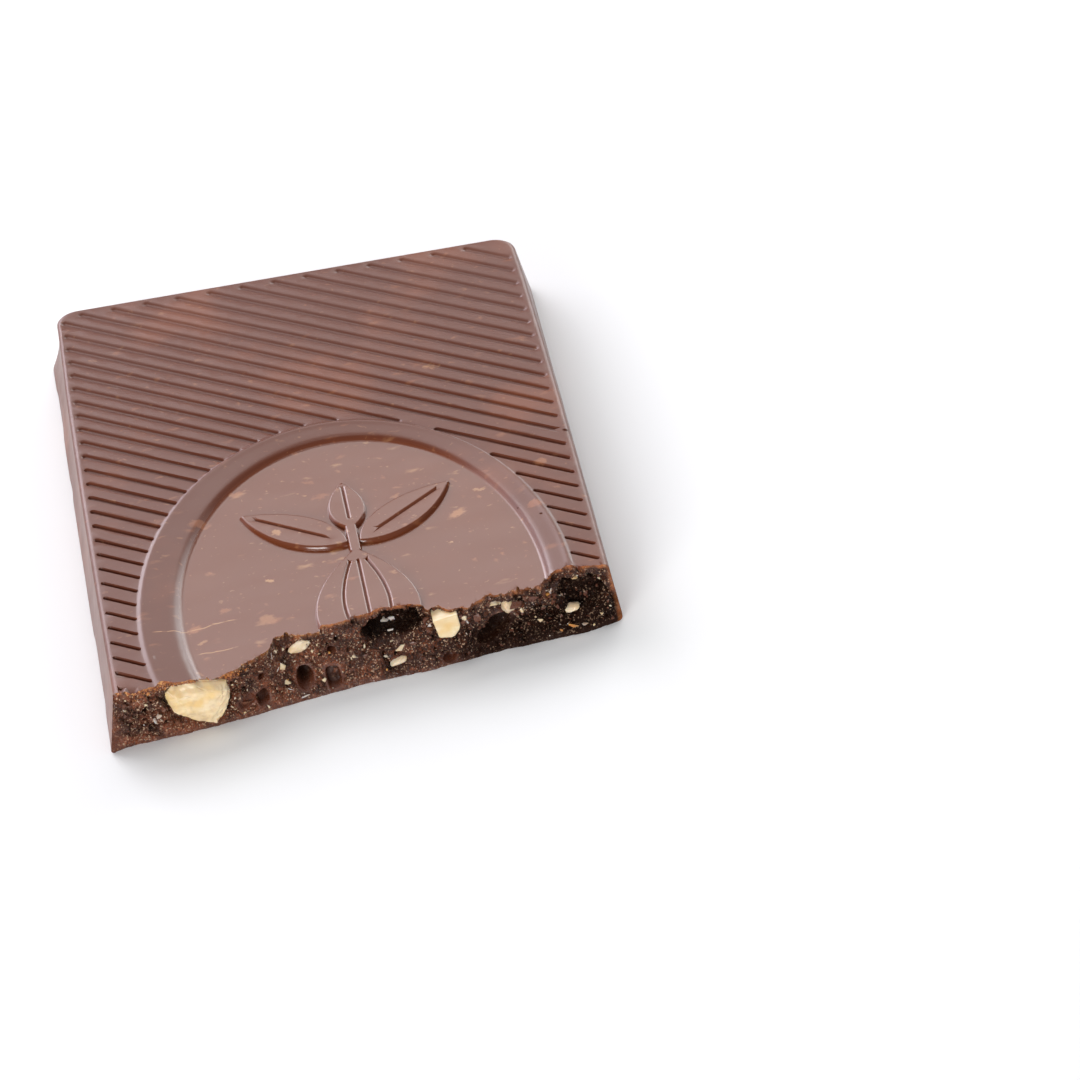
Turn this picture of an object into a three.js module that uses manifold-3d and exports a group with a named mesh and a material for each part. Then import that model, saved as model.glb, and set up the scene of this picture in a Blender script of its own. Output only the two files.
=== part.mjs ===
// Half of a moulded chocolate bar with nut pieces, snapped across its middle.
// Units are millimetres and +Z is up. The moulded face looks up and the broken face looks along -Y.
// The bar frame used below has x = 0 on the centre line, y = 0 at the far edge of the moulded face,
// and z = 0 at the underside. The finished group is shifted so that its box is centred on x and y.
import * as THREE from 'three';
import { ConvexGeometry } from 'three/addons/geometries/ConvexGeometry.js';
import { mergeVertices } from 'three/addons/utils/BufferGeometryUtils.js';
import Module from 'manifold-3d';

// The slab
const FACE_WIDTH = 62;          // width of the moulded face
const THICKNESS = 8.2;
const DRAFT = 1.7;              // how far the underside stands out beyond the face, on each side
const CORNER_RADIUS = 2.8;
const TOP_ROUND = 0.7;          // rounding of the edge round the moulded face
const BASE_ROUND = 0.5;         // rounding of the edge round the underside
const SLAB_LENGTH = 125;        // uncut length, longer than the half so that the break ends it
const CORNER_STEPS = 6;

// The slanting lines pressed into the face
const GROOVE_PITCH = 2.63;
const GROOVE_ANGLE = THREE.MathUtils.degToRad(37.24);
const GROOVE_OFFSET = -0.87;    // place of line 0, measured across the lines from the far left corner
const GROOVE_WIDTH = 0.7;
const GROOVE_DEPTH = 0.42;
const GROOVE_MARGIN = 1.1;      // plain border inside the edge of the face
const GROOVE_GAP = 0.4;         // plain gap between a line's end and the oval
const GROOVE_SHORTEST = 1.2;
const RUNOUT_LINE = 1;          // this line runs out through the right-hand edge
const RUNOUT_LENGTH = 1.6;

// The oval medallion: a low crest, a band that slopes inwards and a sunk field
const OVAL_STEPS = 84;
const CREST_OVAL = { x: 0.3, y: -78.6, a: 27.1, b: 40.8 };
const FIELD_OVAL = { x: 1.3, y: -77.8, a: 22.4, b: 35.9 };
const FIELD_DEPTH = 0.85;
// Section of the band: u runs from the crest oval (0) to the field oval (1), z from the face
const BAND_SECTION = [
  { u: 0.0, z: 0.0 },
  { u: 0.06, z: 0.2 },
  { u: 0.13, z: 0.2 },
  { u: 0.28, z: 0.07 },
  { u: 0.74, z: -0.06 },
  { u: 0.82, z: -0.24 },
  { u: 0.93, z: -0.74 },
  { u: 1.0, z: -FIELD_DEPTH },
];
const MEDALLION_ROOT = 4;       // how deep the medallion's block reaches into the slab

// The raised ornament in the field: a ribbed pod under two leaves and a bud, placed round its middle
const MOTIF_MIDDLE = { x: 1.55, y: -74.7 };
const MOTIF_HEIGHT = 0.6;
const MOTIF_ROOT = 0.5;
const MOTIF_BEVEL = 0.22;
const MOTIF_CURVE_STEPS = 9;
const VEIN_WIDTH = 0.7;
const VEIN_DEPTH = 0.34;
const POD = { length: 25, width: 13.5, centreY: -4.5 };
const POD_RIBS = [-0.5, 0, 0.5];
const STEM = { width: 1.7, bottom: 7, top: 13.2 };
const LEAVES = [
  { x: -0.6, y: 9.2, length: 16.5, width: 6.4, turn: 52 },
  { x: 0.6, y: 9.2, length: 16.5, width: 6.4, turn: -52 },
  { x: 0, y: 12.2, length: 11, width: 5, turn: 0 },
];

// The break: stations of its upper rim and of its lower edge, in the bar frame
const RIM_STATIONS = [
  [-33, -89.6], [-26, -89.9], [-24.5, -89.4], [-20, -88.9], [-15.3, -87.1], [-11.8, -85.1], [-10.4, -83],
  [-9, -82.6], [0, -82], [3, -80.9], [10, -81.7], [13.5, -83.4], [16.6, -81.3], [22.9, -80], [25.3, -79.5],
  [27, -80.2], [33, -80.2],
];
const FOOT_STATIONS = [
  [-33, -90.7], [-30.5, -89.7], [-27, -89.4], [-22, -88.8], [-15, -87.9], [-9, -86.6], [0, -85.2],
  [8, -84.7], [16, -83.3], [22, -82.8], [28, -82.5], [31.8, -81.5], [33.3, -80.4],
];
const BREAK_STEP = 0.65;         // grid step of the broken face
const BREAK_REACH = 36;         // half width of the tool that cuts the break
const BREAK_MARGIN = 1.5;       // how far that tool passes the slab below, above and in front
const BREAK_WAVES = [
  { size: 3.1, height: 0.55 },
  { size: 1.3, height: 0.4 },
];
const BREAK_CALM = { share: 0.25, height: 2.2 };   // the bumps shrink to this share at the underside
// Hollows left in the broken face by trapped air and by nuts that pulled out
const HOLLOWS = [
  { x: -7.6, z: 2.4, rx: 1.1, rz: 1.2, depth: 1.3 },
  { x: -4.1, z: 1.6, rx: 1.2, rz: 1.1, depth: 0.9 },
  { x: -13.4, z: 1.9, rx: 1.4, rz: 1.1, depth: 0.9 },
  { x: 4.6, z: 5.4, rx: 4.3, rz: 1.5, depth: 2.6 },
  { x: 15.9, z: 3.2, rx: 2.9, rz: 1.6, depth: 1.6 },
  { x: -12.9, z: 4.8, rx: 0.8, rz: 0.8, depth: 0.8 },
];

// Pieces of nut that stand in the broken face. Each middle lies the length `behind` behind the face.
const POCKET_GAP = 0.3;
const NUTS = [
  { name: 'nut_cube', x: 10.7, z: 5.2, behind: 0.4, width: 3.7, height: 3.7, depth: 3.6, seed: 5 },
  { name: 'nut_long', x: -7.6, z: 6, behind: 0.1, width: 4, height: 1.9, depth: 2.2, seed: 11 },
  { name: 'nut_rim', x: 18.6, z: 5.6, behind: 0.1, width: 2.8, height: 2.3, depth: 2.2, seed: 17 },
  { name: 'nut_right', x: 26.3, z: 3.3, behind: 0.1, width: 2.9, height: 1.8, depth: 2.2, seed: 23 },
  { name: 'nut_low', x: 4.1, z: 1.8, behind: 0.1, width: 3.2, height: 1.6, depth: 2.2, seed: 29 },
];
const NUT_POINTS = 22;
// Outline of the big piece, seen from the front, round its middle
const BIG_NUT = { x: -20.7, z: 4.2, behind: 0.6, front: 1.5, back: 3.2 };
const BIG_NUT_OUTLINE = [
  [-3.9, 3.2], [-3.5, 0.4], [-2.9, -1.6], [-1.1, -3], [1.8, -3.4], [3, -1.6], [3.7, 0.6], [4.1, 3], [0.4, 3.3],
];

// Small shards, fused to the broken face
const SHARDS = [
  [-10.3, 4.4, 0.7, 1.5], [4.4, 3.2, 0.8, 0.6], [20.4, 4.3, 0.6, 0.5], [16.5, 3.4, 0.7, 0.5],
  [27.4, 6.3, 0.7, 0.5], [30, 5.1, 0.5, 0.5], [29.7, 1.9, 0.5, 0.4], [26.6, 1.3, 0.8, 0.5],
  [2.6, 2.5, 0.4, 0.4], [-13.6, 6.4, 0.5, 0.4], [-27.5, 6.2, 0.5, 0.4], [-28.3, 2.6, 0.4, 0.5],
  [-14.6, 3.6, 0.5, 0.4], [-1, 3.4, 0.4, 0.5], [-1.6, 6.3, 0.5, 0.4], [13.8, 2.4, 0.6, 0.4],
  [22.7, 2.6, 0.5, 0.5], [7.4, 1.9, 0.4, 0.4],
];

const CHOCOLATE = new THREE.MeshStandardMaterial({ color: 0x5a3a30, roughness: 0.4, metalness: 0 });
const NUT = new THREE.MeshStandardMaterial({ color: 0xe6cf9c, roughness: 0.6, metalness: 0 });

const wasm = await Module();
wasm.setup();

// Solids and meshes

// Turns a closed geometry into a solid that can be joined and cut.
function solidFrom(geometry) {
  const bare = geometry.index ? geometry.toNonIndexed() : geometry.clone();
  bare.deleteAttribute('normal');
  bare.deleteAttribute('uv');
  const merged = mergeVertices(bare, 1e-5);
  return new wasm.Manifold(new wasm.Mesh({
    numProp: 3,
    vertProperties: new Float32Array(merged.attributes.position.array),
    triVerts: new Uint32Array(merged.index.array),
  }));
}

// Turns a solid back into a geometry with flat faces.
function geometryFrom(solid) {
  const mesh = solid.getMesh();
  const geometry = new THREE.BufferGeometry();
  geometry.setAttribute('position', new THREE.BufferAttribute(new Float32Array(mesh.vertProperties), 3));
  geometry.setIndex(new THREE.BufferAttribute(new Uint32Array(mesh.triVerts), 1));
  const flat = geometry.toNonIndexed();
  flat.computeVertexNormals();
  return flat;
}

// Joins rings of equal length, from the lowest up, into one closed geometry with flat caps.
function loft(rings) {
  const count = rings[0].length;
  const points = rings.flat();
  const faces = [];
  for (let r = 0; r < rings.length - 1; r += 1) {
    for (let i = 0; i < count; i += 1) {
      const next = (i + 1) % count;
      const a = r * count + i;
      const b = r * count + next;
      faces.push(a, b, a + count, b, b + count, a + count);
    }
  }
  const capCentre = (ring) => ring.reduce((sum, p) => sum.add(p), new THREE.Vector3()).divideScalar(count);
  const low = points.push(capCentre(rings[0])) - 1;
  const high = points.push(capCentre(rings[rings.length - 1])) - 1;
  const top = (rings.length - 1) * count;
  for (let i = 0; i < count; i += 1) {
    const next = (i + 1) % count;
    faces.push(low, next, i);
    faces.push(high, top + i, top + next);
  }
  return indexed(points, faces);
}

function indexed(points, faces) {
  const geometry = new THREE.BufferGeometry().setFromPoints(points);
  geometry.setIndex(faces);
  return geometry;
}

// A repeatable random number from 0 to 1 for a pair of whole numbers.
function scatter(i, j) {
  const wave = Math.sin(i * 127.1 + j * 311.7) * 43758.5453;
  return wave - Math.floor(wave);
}

// Smooth noise from -1 to 1 with the given size of bump.
function bumps(x, z, size) {
  const i = Math.floor(x / size);
  const j = Math.floor(z / size);
  const u = THREE.MathUtils.smoothstep(x / size - i, 0, 1);
  const v = THREE.MathUtils.smoothstep(z / size - j, 0, 1);
  const low = THREE.MathUtils.lerp(scatter(i, j), scatter(i + 1, j), u);
  const high = THREE.MathUtils.lerp(scatter(i, j + 1), scatter(i + 1, j + 1), u);
  return 2 * THREE.MathUtils.lerp(low, high, v) - 1;
}

// Value at x on a line through stations [x, value].
function along(stations, x) {
  const last = stations.length - 1;
  if (x <= stations[0][0]) return stations[0][1];
  if (x >= stations[last][0]) return stations[last][1];
  const i = stations.findIndex((station) => station[0] > x) - 1;
  const [x0, y0] = stations[i];
  const [x1, y1] = stations[i + 1];
  return THREE.MathUtils.lerp(y0, y1, (x - x0) / (x1 - x0));
}

// The slab

// Outline of the face, pushed outwards, at height z. It runs anticlockwise seen from above.
function slabRing(outset, z) {
  const right = FACE_WIDTH / 2 + outset;
  const far = outset;
  const near = -SLAB_LENGTH;
  const radius = CORNER_RADIUS + outset / 2;
  const corners = [
    { x: right - radius, y: far - radius, start: 0 },
    { x: radius - right, y: far - radius, start: 90 },
    { x: radius - right, y: near + radius, start: 180 },
    { x: right - radius, y: near + radius, start: 270 },
  ];
  const ring = [];
  for (const corner of corners) {
    for (let i = 0; i <= CORNER_STEPS; i += 1) {
      const angle = THREE.MathUtils.degToRad(corner.start + (90 * i) / CORNER_STEPS);
      ring.push(new THREE.Vector3(corner.x + radius * Math.cos(angle), corner.y + radius * Math.sin(angle), z));
    }
  }
  return ring;
}

function makeSlab() {
  const drafted = (z) => DRAFT * (1 - z / THICKNESS);
  const half = Math.SQRT1_2;
  const levels = [
    [DRAFT - BASE_ROUND, 0],
    [DRAFT - BASE_ROUND * (1 - half), BASE_ROUND * (1 - half)],
    [drafted(BASE_ROUND), BASE_ROUND],
    [drafted(THICKNESS - TOP_ROUND), THICKNESS - TOP_ROUND],
    [-TOP_ROUND * (1 - half), THICKNESS - TOP_ROUND * (1 - half)],
    [-TOP_ROUND, THICKNESS],
  ];
  return solidFrom(loft(levels.map(([outset, z]) => slabRing(outset, z))));
}

// The pressed lines

// A V-shaped cutting tool from start to end. It cuts down to the depth below height z,
// and it is as wide as `width` on each side where it stands the same depth above z.
function veeTool(start, end, z, width, depth) {
  const length = start.distanceTo(end);
  const section = new THREE.Shape();
  section.moveTo(-width, depth);
  section.lineTo(-width / 7, -depth);
  section.lineTo(width / 7, -depth);
  section.lineTo(width, depth);
  section.closePath();
  const geometry = new THREE.ExtrudeGeometry(section, { depth: length, bevelEnabled: false });
  const forward = end.clone().sub(start).normalize();
  const up = new THREE.Vector3(0, 0, 1);
  const across = up.clone().cross(forward);
  geometry.applyMatrix4(new THREE.Matrix4().makeBasis(across, up, forward));
  geometry.translate(start.x, start.y, z);
  return solidFrom(geometry);
}

// The two places, as distances along a line, where it crosses an oval, or null.
function crossings(point, direction, oval, clearance) {
  const a = oval.a + clearance;
  const b = oval.b + clearance;
  const px = (point.x - oval.x) / a;
  const py = (point.y - oval.y) / b;
  const dx = direction.x / a;
  const dy = direction.y / b;
  const half = px * dx + py * dy;
  const square = dx * dx + dy * dy;
  const inside = half * half - square * (px * px + py * py - 1);
  if (inside <= 0) return null;
  return [(-half - Math.sqrt(inside)) / square, (-half + Math.sqrt(inside)) / square];
}

// Every line as a pair of end points, cut short by the border and by the oval.
function grooveSpans() {
  const corner = new THREE.Vector3(-FACE_WIDTH / 2, 0, 0);
  const direction = new THREE.Vector3(Math.cos(GROOVE_ANGLE), -Math.sin(GROOVE_ANGLE), 0);
  const across = new THREE.Vector3(-Math.sin(GROOVE_ANGLE), -Math.cos(GROOVE_ANGLE), 0);
  const side = FACE_WIDTH / 2 - GROOVE_MARGIN;
  const widest = FACE_WIDTH * Math.sin(GROOVE_ANGLE);
  const first = Math.ceil((-widest - GROOVE_OFFSET) / GROOVE_PITCH);
  const last = Math.floor((SLAB_LENGTH * Math.cos(GROOVE_ANGLE) - GROOVE_OFFSET) / GROOVE_PITCH);
  const spans = [];
  for (let line = first; line <= last; line += 1) {
    const point = corner.clone().addScaledVector(across, GROOVE_OFFSET + line * GROOVE_PITCH);
    const atX = (x) => (x - point.x) / direction.x;
    const atY = (y) => (y - point.y) / direction.y;
    const begin = Math.max(atX(-side), atY(-GROOVE_MARGIN));
    let end = Math.min(atX(side), atY(1 - SLAB_LENGTH));
    if (line === RUNOUT_LINE) end += RUNOUT_LENGTH;
    const hit = crossings(point, direction, CREST_OVAL, GROOVE_GAP);
    const pieces = hit ? [[begin, Math.min(end, hit[0])], [Math.max(begin, hit[1]), end]] : [[begin, end]];
    for (const [from, to] of pieces) {
      if (to - from > GROOVE_SHORTEST) {
        spans.push([point.clone().addScaledVector(direction, from), point.clone().addScaledVector(direction, to)]);
      }
    }
  }
  return spans;
}

function makeGrooves() {
  const tools = grooveSpans().map(([from, to]) => veeTool(from, to, THICKNESS, GROOVE_WIDTH / 2, GROOVE_DEPTH));
  return wasm.Manifold.union(tools);
}

// The medallion

// Oval ring between the crest oval (u = 0) and the field oval (u = 1), at height z.
function bandRing(u, z) {
  const mix = (key) => THREE.MathUtils.lerp(CREST_OVAL[key], FIELD_OVAL[key], u);
  const ring = [];
  for (let i = 0; i < OVAL_STEPS; i += 1) {
    const angle = (2 * Math.PI * i) / OVAL_STEPS;
    ring.push(new THREE.Vector3(mix('x') + mix('a') * Math.cos(angle), mix('y') + mix('b') * Math.sin(angle), z));
  }
  return ring;
}

// The hole in the slab that the medallion's block fills.
function makeWell() {
  return solidFrom(loft([bandRing(0, THICKNESS - MEDALLION_ROOT + 1), bandRing(0, THICKNESS + 2)]));
}

function makeMedallion() {
  const rings = BAND_SECTION.map(({ u, z }) => bandRing(u, THICKNESS + z));
  return solidFrom(loft([bandRing(-0.01, THICKNESS - MEDALLION_ROOT), bandRing(-0.01, THICKNESS - 0.02), ...rings]));
}

// The ornament

// A pointed oval from (0, 0) to (0, length).
function leafShape(length, width) {
  const shape = new THREE.Shape();
  shape.moveTo(0, 0);
  shape.bezierCurveTo(width * 0.62, length * 0.18, width * 0.7, length * 0.62, 0, length);
  shape.bezierCurveTo(-width * 0.7, length * 0.62, -width * 0.62, length * 0.18, 0, 0);
  return shape;
}

// A raised flat-topped piece with a softened edge, standing in the field.
function raised(shape) {
  const geometry = new THREE.ExtrudeGeometry(shape, {
    depth: MOTIF_ROOT + MOTIF_HEIGHT - MOTIF_BEVEL,
    curveSegments: MOTIF_CURVE_STEPS,
    bevelEnabled: true,
    bevelThickness: MOTIF_BEVEL,
    bevelSize: MOTIF_BEVEL,
    bevelOffset: -MOTIF_BEVEL,
    bevelSegments: 1,
  });
  return geometry;
}

// Moves a piece from the ornament's own place, round its middle, into the bar frame.
function placeMotif(geometry, x, y, turn) {
  geometry.rotateZ(THREE.MathUtils.degToRad(turn));
  geometry.translate(MOTIF_MIDDLE.x + x, MOTIF_MIDDLE.y + y, THICKNESS - FIELD_DEPTH - MOTIF_ROOT);
  return solidFrom(geometry);
}

// A line pressed into the ornament, through points given round its middle.
function vein(points) {
  const top = THICKNESS - FIELD_DEPTH + MOTIF_HEIGHT;
  const place = ([x, y]) => new THREE.Vector3(MOTIF_MIDDLE.x + x, MOTIF_MIDDLE.y + y, 0);
  const tools = [];
  for (let i = 0; i + 1 < points.length; i += 1) {
    tools.push(veeTool(place(points[i]), place(points[i + 1]), top, VEIN_WIDTH / 2, VEIN_DEPTH));
  }
  return wasm.Manifold.union(tools);
}

function makeMotif() {
  const stem = new THREE.Shape();
  stem.moveTo(-STEM.width / 2, STEM.bottom);
  stem.lineTo(STEM.width / 2, STEM.bottom);
  stem.lineTo(STEM.width / 2, STEM.top);
  stem.lineTo(-STEM.width / 2, STEM.top);
  stem.closePath();
  const pieces = [
    placeMotif(raised(leafShape(POD.length, POD.width)), 0, POD.centreY - POD.length / 2, 0),
    placeMotif(raised(stem), 0, 0, 0),
    ...LEAVES.map((leaf) => placeMotif(raised(leafShape(leaf.length, leaf.width)), leaf.x, leaf.y, leaf.turn)),
  ];
  return wasm.Manifold.union(pieces);
}

function makeVeins() {
  const ribs = POD_RIBS.map((share) => {
    const points = [];
    for (let i = 0; i <= 6; i += 1) {
      const t = 0.1 + (0.78 * i) / 6;
      const bulge = Math.sin(Math.PI * t) * share * POD.width * 0.42;
      points.push([bulge, POD.centreY - POD.length / 2 + POD.length * t]);
    }
    return vein(points);
  });
  const midribs = LEAVES.map((leaf) => {
    const angle = THREE.MathUtils.degToRad(90 + leaf.turn);
    const point = (share) => [
      leaf.x + leaf.length * share * Math.cos(angle),
      leaf.y + leaf.length * share * Math.sin(angle),
    ];
    return vein([point(0.22), point(0.84)]);
  });
  return wasm.Manifold.union([...ribs, ...midribs]);
}

// The broken face

// How far the smooth break lies along y at a place on the face.
function breakPlane(x, z) {
  const share = THREE.MathUtils.clamp(z / THICKNESS, 0, 1);
  return THREE.MathUtils.lerp(along(FOOT_STATIONS, x), along(RIM_STATIONS, x), share);
}

// The break with its bumps and hollows.
function breakFace(x, z) {
  let y = breakPlane(x, z);
  const calm = THREE.MathUtils.lerp(BREAK_CALM.share, 1, THREE.MathUtils.smoothstep(z, 0, BREAK_CALM.height));
  for (const wave of BREAK_WAVES) y += calm * wave.height * bumps(x + 50, z + 50, wave.size);
  for (const hollow of HOLLOWS) {
    const reach = Math.hypot((x - hollow.x) / hollow.rx, (z - hollow.z) / hollow.rz);
    y += hollow.depth * Math.sqrt(Math.max(0, 1 - reach * reach));
  }
  return y;
}

// Everything in front of the break, as one block with the break as its far side.
function makeBreakTool() {
  const columns = Math.ceil((2 * BREAK_REACH) / BREAK_STEP);
  const low = -BREAK_MARGIN;
  const rows = Math.ceil((THICKNESS + 2 * BREAK_MARGIN) / BREAK_STEP);
  const front = -SLAB_LENGTH - BREAK_MARGIN;
  const points = [];
  for (const side of [0, 1]) {
    for (let r = 0; r <= rows; r += 1) {
      for (let c = 0; c <= columns; c += 1) {
        const x = -BREAK_REACH + c * BREAK_STEP;
        const z = low + r * BREAK_STEP;
        points.push(new THREE.Vector3(x, side ? front : breakFace(x, z), z));
      }
    }
  }
  const at = (side, r, c) => (side * (rows + 1) + r) * (columns + 1) + c;
  const faces = [];
  const quad = (a, b, c, d) => faces.push(a, b, c, a, c, d);
  for (let r = 0; r < rows; r += 1) {
    for (let c = 0; c < columns; c += 1) {
      quad(at(0, r, c), at(0, r + 1, c), at(0, r + 1, c + 1), at(0, r, c + 1));
      quad(at(1, r, c), at(1, r, c + 1), at(1, r + 1, c + 1), at(1, r + 1, c));
    }
  }
  for (let c = 0; c < columns; c += 1) {
    quad(at(0, 0, c), at(0, 0, c + 1), at(1, 0, c + 1), at(1, 0, c));
    quad(at(0, rows, c), at(1, rows, c), at(1, rows, c + 1), at(0, rows, c + 1));
  }
  for (let r = 0; r < rows; r += 1) {
    quad(at(0, r, 0), at(1, r, 0), at(1, r + 1, 0), at(0, r + 1, 0));
    quad(at(0, r, columns), at(0, r + 1, columns), at(1, r + 1, columns), at(1, r, columns));
  }
  return solidFrom(indexed(points, faces));
}

// Nuts

// Corner points of a chopped piece: scattered evenly over a ball, then stretched to size.
function choppedPoints(nut, grow) {
  const centreY = breakPlane(nut.x, nut.z) + nut.behind;
  const points = [];
  for (let i = 0; i < NUT_POINTS; i += 1) {
    const up = 1 - (2 * (i + 0.5)) / NUT_POINTS;
    const angle = i * Math.PI * (3 - Math.sqrt(5)) + scatter(nut.seed, i);
    const size = 0.82 + 0.18 * scatter(i, nut.seed);
    const flat = Math.sqrt(1 - up * up);
    points.push(new THREE.Vector3(
      nut.x + (size * nut.width / 2 + grow) * flat * Math.cos(angle),
      centreY + (size * nut.depth / 2 + grow) * flat * Math.sin(angle),
      nut.z + (size * nut.height / 2 + grow) * up,
    ));
  }
  return points;
}

// Corner points of the big piece: its outline in front, and a smaller one at the back.
function bigNutPoints(grow) {
  const middle = breakPlane(BIG_NUT.x, BIG_NUT.z) + BIG_NUT.behind;
  const slices = [
    { share: 0.6, y: middle - BIG_NUT.front - grow },
    { share: 0.92, y: middle - BIG_NUT.front * 0.7 - grow },
    { share: 1, y: middle },
    { share: 0.9, y: middle + BIG_NUT.back * 0.5 },
    { share: 0.55, y: middle + BIG_NUT.back + grow },
  ];
  const points = [];
  for (const { share, y } of slices) {
    for (const [dx, dz] of BIG_NUT_OUTLINE) {
      const stretch = share * (1 + grow / Math.hypot(dx, dz));
      points.push(new THREE.Vector3(BIG_NUT.x + dx * stretch, y, BIG_NUT.z + dz * stretch));
    }
  }
  return points;
}

function hull(points) {
  return solidFrom(new ConvexGeometry(points));
}

function makeShards() {
  const shards = SHARDS.map(([x, z, halfWidth, halfHeight], i) => {
    const geometry = new THREE.IcosahedronGeometry(1, 0);
    geometry.rotateX(i);
    geometry.rotateY(2 * i);
    geometry.scale(halfWidth, 0.7, halfHeight);
    geometry.translate(x, breakFace(x, z) + 0.25, z);
    return solidFrom(geometry);
  });
  return wasm.Manifold.union(shards);
}

// The half bar

const nutPockets = [
  hull(bigNutPoints(POCKET_GAP)),
  ...NUTS.map((nut) => hull(choppedPoints(nut, POCKET_GAP))),
];

const half = makeSlab()
  .subtract(makeGrooves())
  .subtract(makeWell())
  .add(makeMedallion())
  .add(makeMotif())
  .subtract(makeVeins())
  .subtract(makeBreakTool())
  .add(makeShards())
  .subtract(wasm.Manifold.union(nutPockets));
const largest = half.decompose().sort((a, b) => b.volume() - a.volume())[0];

const bar = new THREE.Group();

function addPiece(name, solid, material) {
  const mesh = new THREE.Mesh(geometryFrom(solid), material);
  mesh.name = name;
  bar.add(mesh);
}

addPiece('chocolate_half', largest, CHOCOLATE);
addPiece('nut_large', hull(bigNutPoints(0)), NUT);
for (const nut of NUTS) addPiece(nut.name, hull(choppedPoints(nut, 0)), NUT);

const box = new THREE.Box3().setFromObject(bar);
bar.position.set(-(box.min.x + box.max.x) / 2, -(box.min.y + box.max.y) / 2, -box.min.z);

const part = new THREE.Group();
part.add(bar);

export default part;
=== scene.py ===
"""Snapped half of a moulded milk chocolate bar with nut pieces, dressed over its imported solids.

Sizes are in millimetres in the bar frame: x = 0 on the centre line, y = 0 at the far edge of the
moulded face, z = 0 at the underside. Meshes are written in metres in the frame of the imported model.
"""
import logging
import math
from dataclasses import dataclass, field
from enum import Enum
from typing import Callable

import bmesh
import bpy
import numpy as np
from mathutils import Matrix, Vector
from mathutils.geometry import delaunay_2d_cdt


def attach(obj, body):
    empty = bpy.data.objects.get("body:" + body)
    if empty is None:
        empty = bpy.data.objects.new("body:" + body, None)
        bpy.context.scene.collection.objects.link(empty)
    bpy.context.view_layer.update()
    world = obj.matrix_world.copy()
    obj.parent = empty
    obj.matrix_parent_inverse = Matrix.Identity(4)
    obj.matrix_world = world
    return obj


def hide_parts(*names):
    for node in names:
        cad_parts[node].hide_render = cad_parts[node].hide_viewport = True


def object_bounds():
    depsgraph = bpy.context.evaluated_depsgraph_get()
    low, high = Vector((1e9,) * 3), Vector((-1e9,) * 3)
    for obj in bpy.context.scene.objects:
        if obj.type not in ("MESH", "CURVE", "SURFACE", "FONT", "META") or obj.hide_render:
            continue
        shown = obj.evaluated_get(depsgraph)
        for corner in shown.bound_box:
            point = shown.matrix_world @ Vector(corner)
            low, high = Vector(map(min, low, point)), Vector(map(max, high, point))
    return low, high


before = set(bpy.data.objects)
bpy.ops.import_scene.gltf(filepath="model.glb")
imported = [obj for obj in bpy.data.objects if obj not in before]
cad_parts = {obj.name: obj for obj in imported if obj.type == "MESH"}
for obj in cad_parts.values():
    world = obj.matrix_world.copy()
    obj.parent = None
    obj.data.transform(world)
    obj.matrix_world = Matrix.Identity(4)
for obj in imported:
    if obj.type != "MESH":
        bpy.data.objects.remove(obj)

CAD_LOW, CAD_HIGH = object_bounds()
LOG = logging.getLogger("chocolate")
MM = 0.001
Array = np.ndarray
Stations = tuple[tuple[float, float], ...]
Colour = tuple[float, float, float, float]
Socket = bpy.types.NodeSocket
Input = Socket | float
Outputs = bpy.types.bpy_prop_collection


# Noise and small helpers


def scatter(i: Array, j: Array) -> Array:
    """Repeatable random numbers from 0 to 1 for pairs of whole numbers.

    Args:
        i: First whole numbers.
        j: Second whole numbers.

    Returns:
        One number for each pair.
    """
    wave = np.sin(i * 127.1 + j * 311.7) * 43758.5453
    return wave - np.floor(wave)


def bumps(x: Array, z: Array, size: float) -> Array:
    """Smooth noise from -1 to 1.

    Args:
        x: First coordinates.
        z: Second coordinates.
        size: Size of one bump.

    Returns:
        The noise at each place.
    """
    i, j = np.floor(x / size), np.floor(z / size)
    u, v = x / size - i, z / size - j
    u, v = u * u * (3 - 2 * u), v * v * (3 - 2 * v)
    low = scatter(i, j) * (1 - u) + scatter(i + 1, j) * u
    high = scatter(i, j + 1) * (1 - u) + scatter(i + 1, j + 1) * u
    return 2 * (low * (1 - v) + high * v) - 1


def cells(x: Array, z: Array, size: float, seed: int) -> tuple[Array, Array, Array]:
    """Scattered cells, as crumbs have.

    Args:
        x: First coordinates.
        z: Second coordinates.
        size: Mean distance between cell centres.
        seed: Number that picks the pattern.

    Returns:
        Distance to the nearest centre, distance to the next one, and the cell's own random number.
    """
    x, z = x / size, z / size
    i, j = np.floor(x), np.floor(z)
    first, second, own = np.full(x.shape, 9.0), np.full(x.shape, 9.0), np.zeros(x.shape)
    for di in (-1, 0, 1):
        for dj in (-1, 0, 1):
            ci, cj = i + di, j + dj
            px = ci + 0.5 + 0.9 * (scatter(ci + seed, cj) - 0.5)
            pz = cj + 0.5 + 0.9 * (scatter(cj + 3 * seed, ci) - 0.5)
            far = np.hypot(x - px, z - pz)
            near = far < first
            second = np.where(near, first, np.minimum(second, far))
            own = np.where(near, scatter(ci * 7 + seed, cj * 3), own)
            first = np.where(near, far, first)
    return first, second, own


def smooth(value: Array, low: float, high: float) -> Array:
    """Rises smoothly from 0 at low to 1 at high."""
    share = np.clip((value - low) / (high - low), 0.0, 1.0)
    return share * share * (3 - 2 * share)


def along(stations: Stations, x: Array) -> Array:
    """Value at x on the line through the stations."""
    return np.interp(x, [s[0] for s in stations], [s[1] for s in stations])


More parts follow.
